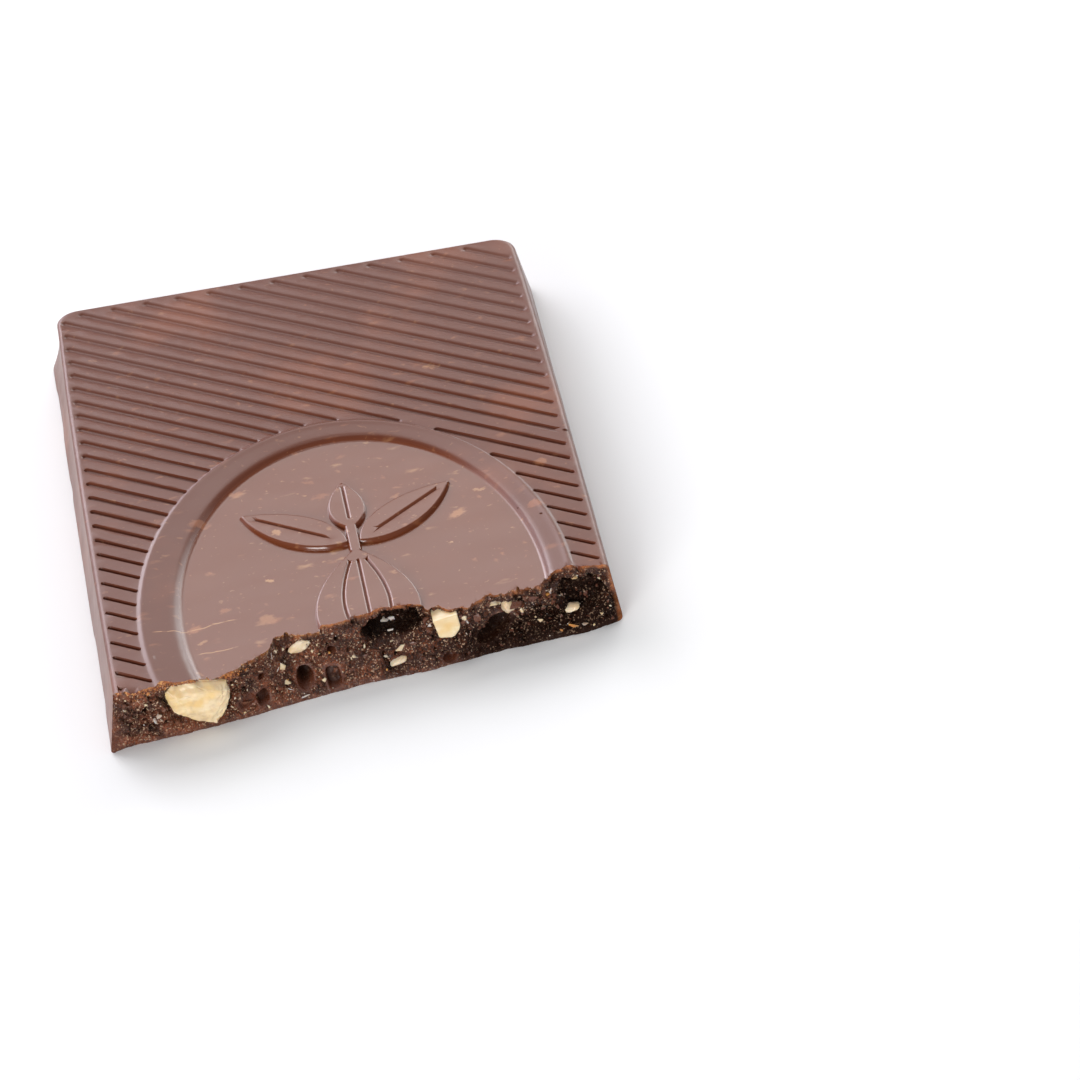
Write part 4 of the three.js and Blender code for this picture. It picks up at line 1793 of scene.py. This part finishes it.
@dataclass(frozen=True)
class SkinFinish:
    """Moulded surface: semi-glossy, smoother inside the medallion, with flecks just under it, painted shade
    in its pressed lines and pinholes, and pale frost on its sides that is partly a painted sheen.
    """

    effects: Effects
    shift: Vector
    brown: Colour = (0.128, 0.0285, 0.0092, 1)
    brown_warm: Colour = (0.19, 0.047, 0.0145, 1)
    cream: Colour = (0.52, 0.27, 0.12, 1)
    amber: Colour = (0.38, 0.125, 0.045, 1)
    # Pale colour of the frost on the sides, partly bloom and partly a painted sheen
    bloom_and_sheen: Colour = (0.3, 0.18, 0.15, 1)
    # Colour of the painted shade in the pressed lines and the pinholes
    hollow: Colour = (0.06, 0.012, 0.004, 1)
    shine_field: float = 0.2
    shine_band: float = 0.32
    shine_lines: float = 0.38
    shine_side: float = 0.3
    medal_warmth: float = 0.6
    groove_shade: float = 0.3
    hole_shade: float = 0.95
    scratch_strength: float = 0.85
    most_frost_and_sheen: float = 0.22
    gloss_lines: float = 0.4
    gloss_field: float = 0.5
    side_gloss_loss: float = 0.08
    groove_gloss_loss: float = 0.12
    flecks: tuple[Flecks, ...] = (
        Flecks(300.0, 0.45, 0.2, 1.9, 0.4, 0.5, 0.3),
        Flecks(520.0, 0.5, 0.26, 2.2, 0.12, 0.6, 0.7),
        Flecks(700.0, 0.4, 0.24, 1.6, -0.5, 0.6, 0.8),
        Flecks(1500.0, 0.4, 0.26, 1.3, 0.1, 0.5, 0.8),
    )
    spots: tuple[Spot, ...] = (
        Spot(-20.0, -77.9, 1.1, 0.8, 0.4, 0.6, 0.15), Spot(-15.9, -74.9, 1.2, 0.45, 0.1, 0.5, 0.1),
        Spot(-10.9, -78.4, 1.5, 1.0, 0.3, 0.55, 0.45), Spot(-9.7, -70.3, 0.75, 0.5, 0.1, 0.75, 1.0),
        Spot(-7.9, -60.6, 0.7, 0.6, 0.2, 0.7, 0.8), Spot(-19.3, -80.9, 0.9, 0.4, 0.3, 0.6, 0.8),
        Spot(-17.0, -55.5, 1.5, 0.9, 0.4, 0.5, 0.1), Spot(15.0, -62.3, 1.6, 0.8, 0.6, 0.75, 0.5),
        Spot(18.3, -57.9, 0.8, 0.4, 0.2, 0.6, 0.9), Spot(13.5, -68.7, 0.4, 0.4, 0.0, 0.7, 1.0),
        Spot(7.8, -56.3, 0.8, 0.5, 0.3, 0.5, 0.3), Spot(-1.3, -53.4, 1.3, 0.6, 0.2, 0.4, 0.0),
        Spot(24.9, -64.5, 1.0, 0.7, 0.1, 0.5, 0.0), Spot(26.9, -55.3, 1.2, 0.8, 0.0, 0.5, 0.3),
        Spot(16.2, -28.6, 1.1, 0.9, 0.0, 0.6, 0.7), Spot(-11.8, -49.6, 1.0, 0.6, 0.2, 0.5, 0.2),
    )
    # Pinholes that are only painted: a dark spot of painted shade with less gloss
    pinholes: tuple[tuple[float, float, float], ...] = (
        (25.2, -67.0, 0.3), (31.0, -49.1, 0.5), (22.6, -64.2, 0.16),
    )
    scratches: tuple[Scratch, ...] = (
        Scratch(-25.4, -78.4, 0.1, 11.5),
        Scratch(-20.4, -83.4, 0.08, 5.5),
    )

    def placed(self, x: float, y: float, turn: float, **sizes: float) -> dict[str, float]:
        """Group values for one mark, from its place and sizes in millimetres in the bar frame.

        Args:
            x: Its place across the bar.
            y: Its place along the bar.
            turn: Its direction.
            sizes: Its sizes, by the group's names for them.

        Returns:
            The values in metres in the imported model's frame.
        """
        middle = (Vector((x, y, 0)) + self.shift) * MM
        return {"X": middle.x, "Y": middle.y, "Turn": -turn} | {key: size * MM for key, size in sizes.items()}

    def ground(self, w: Wiring, place: Socket, medal: Socket) -> Socket:
        """Brown that drifts in tone and is warmer in the medallion, with small flecks.

        Args:
            w: Wiring of the material.
            place: Object coordinates.
            medal: Mark of the medallion.

        Returns:
            The colour.
        """
        tone = w.remap(w.noise(place, 70.0, 3.0), 0.5, 0.76)
        base = w.mix(w.times(tone, w.minus(1.0, w.times(medal, 0.5))), self.brown, self.brown_warm)
        base = w.mix(w.times(medal, self.medal_warmth), base, self.brown_warm)
        dulled = w.plus(0.5, w.times(medal, 0.35))
        for kind in self.flecks:
            drawn_on = w.stretched(place, (kind.stretch, 1.0, 1.0), kind.turn)
            values = {"Scale": kind.scale, "Share": kind.share, "Size": kind.size}
            fleck = w.group(self.effects.fleck, drawn_on, values)
            own = w.math("MINIMUM", w.times(fleck["Own"], dulled, 2 * kind.pale), 1.0)
            colour = w.mix(own, self.amber, self.cream)
            base = w.mix(w.times(fleck["Mask"], w.times(dulled, kind.strength)), base, colour)
        return base

    def marked(self, w: Wiring, place: Socket, base: Socket) -> tuple[Socket, Socket]:
        """Adds the larger spots, the pinholes, painted dark as the shade inside a hole, and the scratches.

        Args:
            w: Wiring of the material.
            place: Object coordinates.
            base: The colour so far.

        Returns:
            The new colour, and a mask of the pinholes.
        """
        ragged = w.jitter(place, SPOT_WANDER, 900.0, 3.0, 0.6)
        for spot in self.spots:
            values = self.placed(spot.x, spot.y, spot.turn, Long=spot.long, Wide=spot.wide)
            mask = w.group(self.effects.spot, ragged, values)["Mask"]
            colour = [a + (b - a) * spot.tone for a, b in zip(self.amber, self.cream)]
            base = w.mix(w.times(mask, spot.strength), base, colour)
        hole = None
        for x, y, size in self.pinholes:
            values = self.placed(x, y, -0.6, Long=size, Wide=0.7 * size)
            mask = w.group(self.effects.spot, place, values)["Mask"]
            hole = w.math("MAXIMUM", hole, mask) if hole else mask
        # Painted shade inside the pinholes
        base = w.mix(w.times(hole, self.hole_shade), base, self.hollow)
        for mark in self.scratches:
            values = self.placed(mark.x, mark.y, mark.turn, Length=mark.length, Width=mark.width)
            line = w.group(self.effects.hairline, place, values)["Mask"]
            base = w.mix(w.times(line, self.scratch_strength), base, self.cream)
        return base, hole

    def material(self) -> bpy.types.Material:
        """Builds the material.

        Returns:
            The material.
        """
        material, w, shader, place = start_material("moulded_skin")
        medal, band, side, groove = (w.mark(name) for name in ("medal", "band", "side", "groove"))
        base, hole = self.marked(w, place, self.ground(w, place, medal))
        # Painted shade in the pressed lines
        base = w.mix(w.times(groove, self.groove_shade), base, self.hollow)
        # Pale frost on the sides: partly bloom, partly a painted sheen
        frost_and_sheen = w.remap(w.noise(place, 420.0, 4.0, 0.65), 0.4, 0.75, 0.0, self.most_frost_and_sheen)
        base = w.mix(w.times(frost_and_sheen, side), base, self.bloom_and_sheen)
        shine = w.remap(band, 0.0, 1.0, self.shine_lines, self.shine_band)
        shine = w.plus(shine, w.times(medal, self.shine_field - self.shine_band))
        shine = w.plus(w.times(shine, w.minus(1.0, side)), w.times(side, self.shine_side))
        smear = w.noise(w.stretched(place, (3.5, 1.0, 1.0), 0.12), 260.0, 3.0, 0.6)
        gloss = w.remap(medal, 0.0, 1.0, self.gloss_lines, self.gloss_field)
        gloss = w.minus(gloss, w.times(side, self.side_gloss_loss))
        gloss = w.minus(gloss, w.times(groove, self.groove_gloss_loss))
        grain = w.group(self.effects.grain, place, {"Fine": 4200.0, "Coarse": 260.0, "Balance": 0.35})
        w.join(shader, {
            "Base Color": base,
            "Roughness": w.plus(shine, w.remap(smear, 0.3, 0.75, -0.015, 0.035)),
            "Specular IOR Level": w.times(gloss, w.minus(1.0, hole)),
            "Normal": w.bump(grain["Height"], 0.1, 0.00006),
            "IOR": 1.5,
        })
        return material


@dataclass(frozen=True)
class BreakFinish:
    """Broken chocolate: grainy, with painted shade in its pits, gaps and under the overhang, painted light to
    the left and painted shade to the right, sparkling crumbs with pale specks that are partly painted glints,
    and a golden line under the rim that is a crust partly lit by painted light.
    """

    effects: Effects
    name: str = "broken_chocolate"
    # Colour of the painted shade in pits, hollows and the gaps between crumbs
    deep: Colour = (0.016, 0.005, 0.0022, 1)
    dark: Colour = (0.055, 0.015, 0.006, 1)
    brown: Colour = (0.29, 0.083, 0.034, 1)
    pale: Colour = (0.75, 0.5, 0.33, 1)
    crust: Colour = (0.45, 0.13, 0.035, 1)
    # Golden colour of painted light from above on the crust
    gold_painted_light: Colour = (0.9, 0.46, 0.17, 1)
    plain: Colour = (0.098, 0.026, 0.0115, 1)
    fine_share: float = 0.55
    # Painted light at the left end and painted shade at the right end of the break
    left_painted_light: float = 0.31
    right_painted_shade: float = -0.16
    gap_shade: float = 0.3

    def material(self) -> bpy.types.Material:
        """Builds the material.

        Returns:
            The material.
        """
        material, w, shader, place = start_material(self.name)
        rim, pit_shade, crumb = (w.mark(name) for name in ("rim", "pit_shade", "crumb"))
        fine, coarse = (w.group(self.effects.crumb, place, {"Scale": scale}) for scale in (6200.0, 2600.0))
        tone, height = (
            w.plus(w.times(fine[key], self.fine_share), w.times(coarse[key], 1 - self.fine_share))
            for key in ("Tone", "Height")
        )
        across = w.node("ShaderNodeSeparateXYZ", {0: place}).outputs["X"]
        # Painted light and shade: lighter towards the left end and darker towards the right end, as the light
        # falls from the front left
        lift = w.remap(across, -0.03, 0.026, self.left_painted_light, self.right_painted_shade)
        base = w.mix(w.remap(w.plus(tone, lift), 0.3, 0.75), self.dark, self.brown)
        drift = w.noise(place, 480.0, 3.0)
        base = w.mix(w.remap(drift, 0.35, 0.62, 0.85, 0.0), base, self.dark)
        base = w.mix(w.remap(crumb, 0.2, 0.65, 0.75, 0.0), base, self.plain)
        # Painted shade in the gaps between the crumbs
        base = w.mix(w.times(coarse["Gap"], crumb, self.gap_shade), base, self.deep)
        # Painted shade in the pits, the hollows and under the overhang
        base = w.mix(w.remap(pit_shade, 0.1, 0.9), base, self.deep)
        # Pale specks: partly paler crumbs and partly painted glints, fewer where shade is painted
        speck_and_glint = w.times(w.remap(fine["Tone"], 0.87, 0.93), w.remap(drift, 0.3, 0.45, 0.4, 1.0))
        speck_and_glint = w.times(speck_and_glint, w.times(w.remap(pit_shade, 0.5, 0.95, 0.9, 0.1), crumb))
        base = w.mix(speck_and_glint, base, self.pale)
        # Line under the rim: a reddish crust, made golden towards the left by painted light from above
        golden = w.times(w.remap(fine["Tone"], 0.55, 0.8), w.remap(across, -0.012, 0.0, 1.0, 0.25))
        golden = w.mix(golden, self.crust, self.gold_painted_light)
        patchy = w.remap(w.noise(place, 900.0, 2.0), 0.3, 0.55, 0.4, 0.95)
        w.join(shader, {
            "Base Color": w.mix(w.times(rim, patchy), base, golden),
            "Roughness": w.remap(fine["Tone"], 0.1, 0.9, 0.5, 0.18),
            "Specular IOR Level": w.remap(pit_shade, 0.1, 0.8, 0.55, 0.12),
            "Normal": w.bump(height, w.plus(0.2, w.times(crumb, 0.8)), 0.0002),
        })
        return material


@dataclass(frozen=True)
class NutFinish:
    """Cut nut: cream and waxy, yellower in places, with faint streaks."""

    effects: Effects
    name: str = "cut_nut"
    cream: Colour = (0.82, 0.62, 0.35, 1)
    pale: Colour = (0.92, 0.77, 0.53, 1)
    yellow: Colour = (0.82, 0.56, 0.22, 1)
    shade: Colour = (0.5, 0.36, 0.24, 1)
    yellow_share: float = 0.8
    shade_share: float = 0.4
    wax_depth: float = 0.0006

    def material(self) -> bpy.types.Material:
        """Builds the material.

        Returns:
            The material.
        """
        material, w, shader, place = start_material(self.name)
        values = {"Vector": place, "Rotation": (0, 0.5, 0), "Scale": (0.4, 1, 1.6)}
        streak = w.noise(w.node("ShaderNodeMapping", values).outputs[0], 900.0, 3.0)
        base = w.mix(w.remap(streak, 0.3, 0.75), self.cream, self.pale)
        yellow = w.remap(w.noise(place, 330.0, 2.0), 0.48, 0.7, 0.0, self.yellow_share)
        base = w.mix(yellow, base, self.yellow)
        shade = w.remap(w.noise(place, 620.0, 3.0), 0.5, 0.75, 0.0, self.shade_share)
        grain = w.group(self.effects.grain, place, {"Fine": 3000.0, "Coarse": 420.0, "Balance": 0.4})
        w.join(shader, {
            "Base Color": w.mix(shade, base, self.shade),
            "Roughness": 0.3,
            "Subsurface Weight": 0.3,
            "Subsurface Radius": (1.0, 0.7, 0.35),
            "Subsurface Scale": self.wax_depth,
            "Normal": w.bump(grain["Height"], 0.5, 0.00014),
        })
        return material


# Studio


def direction(azimuth: float, elevation: float) -> Vector:
    """Direction at an azimuth from the far side, clockwise, and an elevation."""
    level = math.cos(elevation)
    return Vector((math.sin(azimuth) * level, math.cos(azimuth) * level, math.sin(elevation)))


@dataclass(frozen=True)
class SoftBox:
    """A flat soft light that faces the bar, placed by direction and by how large it looks from there."""

    name: str
    azimuth: float
    elevation: float
    wide: float
    tall: float
    radiance: float
    colour: tuple[float, float, float] = (1.0, 1.0, 1.0)
    distance: float = 1.2

    def build(self) -> None:
        """Makes the light."""
        place = direction(math.radians(self.azimuth), math.radians(self.elevation)) * self.distance
        data = bpy.data.lights.new(self.name, "AREA")
        data.shape = "RECTANGLE"
        data.size, data.size_y = (
            2 * self.distance * math.tan(math.radians(angle / 2)) for angle in (self.wide, self.tall)
        )
        data.energy = self.radiance * math.pi * data.size * data.size_y
        data.color = self.colour
        light = bpy.data.objects.new(self.name, data)
        light.location = place
        light.rotation_euler = (-place).to_track_quat("-Z", "Y").to_euler()
        bpy.context.scene.collection.objects.link(light)


@dataclass(frozen=True)
class Studio:
    """Pale floor, soft lights and the camera at the photograph's viewing angle."""

    camera_place: tuple[float, float, float] = (-21.8, -706.7, 441.5)
    azimuth: float = math.radians(4.152)
    elevation: float = math.radians(34.281)
    roll: float = math.radians(-7.553)
    lens: float = 205.87
    floor_size: float = 6.0
    floor_grey: float = 0.93
    floor_roughness: float = 0.9
    floor_gloss: float = 0.1
    sky: Colour = (0.96, 0.97, 1.0, 1)
    surround: float = 0.32
    boxes: tuple[SoftBox, ...] = (
        SoftBox("back_box", -16, 45, 56, 26, 2.7),
        SoftBox("right_box", 32, 19, 36, 24, 4.8),
        SoftBox("left_box", -38, 21, 56, 36, 2.4, (0.92, 0.89, 1.0)),
        SoftBox("left_strip", -22, 23, 22, 22, 4.6, (0.95, 0.93, 1.0)),
        SoftBox("top_box", 0, 80, 34, 24, 1.8),
        SoftBox("front_box", 208, 16, 26, 14, 17.0),
    )

    def build_camera(self, shift: Vector) -> None:
        """Makes the camera.

        Args:
            shift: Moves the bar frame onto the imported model's frame, in millimetres.
        """
        data = bpy.data.cameras.new("camera")
        data.lens = self.lens
        data.sensor_width = 36.0
        data.clip_start, data.clip_end = 0.05, 10.0
        camera = bpy.data.objects.new("camera", data)
        camera.location = (Vector(self.camera_place) + shift) * MM
        level = direction(self.azimuth, -self.elevation).to_track_quat("-Z", "Y").to_matrix()
        camera.rotation_euler = (level @ Matrix.Rotation(self.roll, 3, "Z")).to_euler()
        bpy.context.scene.collection.objects.link(camera)
        bpy.context.scene.camera = camera

    def build_floor(self) -> None:
        """Makes the pale floor."""
        half = self.floor_size / 2
        corners = [(-half, -half, 0), (half, -half, 0), (half, half, 0), (-half, half, 0)]
        floor = make_object("floor", corners, [(0, 1, 2, 3)])
        material, w, shader, _ = start_material("pale_floor")
        w.join(shader, {
            "Base Color": (self.floor_grey, self.floor_grey, self.floor_grey, 1),
            "Roughness": self.floor_roughness,
            "Specular IOR Level": self.floor_gloss,
        })
        floor.data.materials.append(material)

    def build_lights(self) -> None:
        """Makes the soft surround and the soft boxes."""
        world = bpy.data.worlds.new("surround")
        world.use_nodes = True
        background = next(n for n in world.node_tree.nodes if n.type == "BACKGROUND")
        background.inputs["Color"].default_value = self.sky
        background.inputs["Strength"].default_value = self.surround
        bpy.context.scene.world = world
        for box in self.boxes:
            box.build()


def dress(piece: bpy.types.Object, slot: str, node: str | None, *materials: bpy.types.Material) -> None:
    """Gives a piece its materials and body, and hides the CAD node that it stands for.

    Args:
        piece: The piece.
        slot: What it is made of. Not used.
        node: The CAD node, or None for a piece that stands for none.
        materials: Its materials, in the order of its material slots.
    """
    for material in materials:
        piece.data.materials.append(material)
    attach(piece, "root")
    if node:
        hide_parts(node)
    LOG.info("%s: %d faces", piece.name, len(piece.data.polygons))


# Pieces of nut that are nodes of their own, and smaller chips of nut
NUTS = (
    BigNut(),
    Nut("nut_cube", 10.7, 5.3, 0.45, 3.5, 3.6, 3.6, 5, square=0.75, tilt=0.12),
    Nut("nut_long", -7.7, 6.1, 0.1, 3.7, 1.6, 2.2, 11, tilt=0.3),
    Nut("nut_rim", 18.6, 5.8, -0.5, 2.4, 2.3, 2.2, 17, square=0.3, tilt=0.6),
    Nut("nut_right", 26.5, 3.3, 0.3, 2.6, 1.2, 2.2, 23, tilt=0.3),
    Nut("nut_low", 4.1, 1.8, 0.1, 3.0, 1.05, 2.0, 29, tilt=0.3),
)
NUT_CHIPS = (
    Chip(-10.2, 4.4, 0.5, 0.75, 0.2), Chip(-10.0, 2.8, 0.6, 0.45, -0.4), Chip(4.5, 3.2, 0.8, 0.4, 0.5),
    Chip(20.3, 4.6, 0.42, 0.42), Chip(16.4, 3.9, 0.8, 0.4, 0.5), Chip(27.4, 6.4, 0.5, 0.45),
    Chip(30.5, 5.7, 0.4, 0.3), Chip(30.0, 1.9, 0.35, 0.45), Chip(2.7, 2.5, 0.4, 0.22, -0.2),
    Chip(-27.5, 6.2, 0.3, 0.3), Chip(-8.6, 4.1, 0.35, 0.28, 0.3), Chip(22.3, 2.7, 0.4, 0.35, 0.3),
    Chip(-5.6, 4.7, 0.3, 0.2, 0.3), Chip(-5.4, 1.8, 0.35, 0.45, 0.2), Chip(-1.6, 3.4, 0.2, 0.2),
    Chip(12.9, 5.9, 0.4, 0.55, -0.5), Chip(16.8, 6.0, 0.8, 0.5, -0.2), Chip(17.6, 6.8, 0.5, 0.3, 0.4),
    Chip(-10.6, 6.9, 0.3, 0.25), Chip(-9.9, 6.6, 0.4, 0.22, 0.4),
)
GREY_CHIPS = (
    Chip(3.3, 4.9, 0.8, 0.5, 0.1), Chip(4.4, 5.0, 0.7, 0.45, -0.3), Chip(3.9, 4.5, 0.6, 0.35, 0.2),
    Chip(27.7, 1.4, 0.6, 0.5, 0.3), Chip(-26.2, 3.8, 0.6, 0.4, 0.5), Chip(-25.7, 3.2, 0.5, 0.3, -0.5),
    Chip(-26.7, 3.2, 0.3, 0.5, 0.2), Chip(-25.5, 4.2, 0.35, 0.25, 0.9), Chip(8.6, 4.9, 0.35, 0.3),
    Chip(-8.2, 0.6, 0.8, 0.2, 0.2), Chip(-11.3, 6.9, 0.1, 0.75, 0.0), Chip(-11.1, 5.5, 0.1, 0.8, -0.25),
    Chip(-10.8, 4.3, 0.1, 0.6, -0.4), Chip(-9.6, 2.1, 0.6, 0.12, -0.5), Chip(13.4, 4.9, 0.1, 0.7, 0.5),
    Chip(12.9, 3.9, 0.1, 0.6, 0.2), Chip(24.1, 6.1, 0.25, 0.85, -0.3), Chip(23.4, 6.9, 0.6, 0.15, 0.3),
)
# Chunks of the ledge, in a lighter copy of the break finish that paints light on them
CHUNKS = (
    Chip(8.3, 5.6, 0.7, 0.5, 0.4), Chip(8.5, 4.6, 0.55, 0.5, -0.5), Chip(7.9, 5.0, 0.4, 0.4),
    Chip(19.3, 7.0, 1.1, 0.5, 0.15), Chip(21.3, 7.0, 1.2, 0.5, 0.1), Chip(23.2, 6.6, 0.9, 0.7, -0.3),
    Chip(24.4, 5.2, 0.5, 0.5, 0.4), Chip(22.0, 5.6, 0.8, 0.6, 0.3), Chip(14.6, 6.3, 0.8, 0.6, 0.5),
    Chip(15.6, 5.3, 0.8, 0.5, -0.3), Chip(-15.5, 2.0, 0.8, 0.5, 0.4), Chip(-14.6, 1.2, 0.6, 0.3, 0.1),
    Chip(-24.0, 1.6, 0.6, 0.4, 0.3), Chip(-6.0, 6.6, 0.6, 0.4, 0.2), Chip(1.3, 3.6, 1.1, 0.35, 0.0),
    Chip(6.3, 3.4, 0.9, 0.3, 0.1),
)
NUT_SKINS = (Chip(26.3, 1.4, 0.75, 0.4, -0.5), Chip(23.6, 6.3, 0.5, 0.3, 0.9))


def build_finishes(shift: Vector) -> dict[str, bpy.types.Material]:
    """Builds every material of the bar.

    Args:
        shift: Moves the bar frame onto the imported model's frame, in millimetres.

    Returns:
        The materials, by what they are for.
    """
    effects = Effects()
    finishes = {
        "skin": SkinFinish(effects, shift),
        "break": BreakFinish(effects),
        "nut": NutFinish(effects),
        "pale_nut": NutFinish(
            effects, "pale_nut", cream=(0.74, 0.55, 0.33, 1), pale=(0.86, 0.72, 0.54, 1),
            yellow=(0.68, 0.42, 0.18, 1), shade_share=0.5,
        ),
        # A lighter copy of the break finish: painted light, as on the lit ledge
        "loose": BreakFinish(
            effects, "loose_crumbs_painted_light", dark=(0.14, 0.05, 0.025, 1), brown=(0.42, 0.2, 0.11, 1),
        ),
        "grey": NutFinish(
            effects, "grey_flakes", cream=(0.62, 0.5, 0.42, 1), pale=(0.78, 0.74, 0.72, 1),
            yellow=(0.45, 0.3, 0.2, 1), shade_share=0.5,
        ),
        # Crumbs along the rim, much paler than chocolate: the crust with painted light from above
        "golden": BreakFinish(
            effects, "golden_crumbs_painted_light", dark=(0.4, 0.12, 0.03, 1), brown=(0.75, 0.34, 0.11, 1),
            pale=(0.95, 0.62, 0.3, 1), plain=(0.5, 0.18, 0.05, 1),
        ),
        "nut_skin": NutFinish(
            effects, "nut_skin", cream=(0.6, 0.25, 0.06, 1), pale=(0.7, 0.34, 0.1, 1),
            yellow=(0.5, 0.17, 0.03, 1),
        ),
    }
    return {key: finish.material() for key, finish in finishes.items()}


def main() -> None:
    """Builds the half bar and its studio."""
    logging.basicConfig(level=logging.INFO, format="%(message)s")
    bpy.context.scene.view_settings.view_transform = "Standard"
    broken = Break(Face())
    half = HalfBar(broken.face, broken)
    shift = half.shift()
    finishes = build_finishes(shift)

    body = half.build()
    sides = np.zeros(len(body.data.polygons), np.int32)
    body.data.polygons.foreach_get("material_index", sides)
    dress(body, "chocolate", "chocolate_half", finishes["skin"], finishes["break"])
    body.data.polygons.foreach_set("material_index", sides)

    maker = NutPieces(broken, shift)
    for one in NUTS:
        finish = "nut" if one.node in ("nut_large", "nut_cube") else "pale_nut"
        dress(maker.build(one), "nut", one.node, finishes[finish])

    # Rim crumbs in colours that paint the light from above onto them
    golden = Chips(
        "golden_crumbs_painted_light", broken, shift, 220, 0.06, 0.22, 12, rim_share=1.0, low_x=-29.0, high_x=-14.0,
    )
    loose = Chips("chocolate_crumbs", broken, shift, 900, 0.06, 0.34, 9, rim_share=0.2, named=CHUNKS)
    for chips, slot, finish in (
        (Chips("nut_shards", broken, shift, 100, 0.07, 0.3, 5, named=NUT_CHIPS), "nut", "pale_nut"),
        (Chips("grey_flakes", broken, shift, 60, 0.05, 0.2, 7, named=GREY_CHIPS), "nut", "grey"),
        (golden, "chocolate", "golden"),
        (Chips("nut_skins", broken, shift, 10, 0.1, 0.3, 6, named=NUT_SKINS), "nut", "nut_skin"),
        (loose, "chocolate", "loose"),
    ):
        dress(chips.build(), slot, None, finishes[finish])

    studio = Studio()
    studio.build_floor()
    studio.build_lights()
    studio.build_camera(shift)


if __name__ == "__main__":
    main()
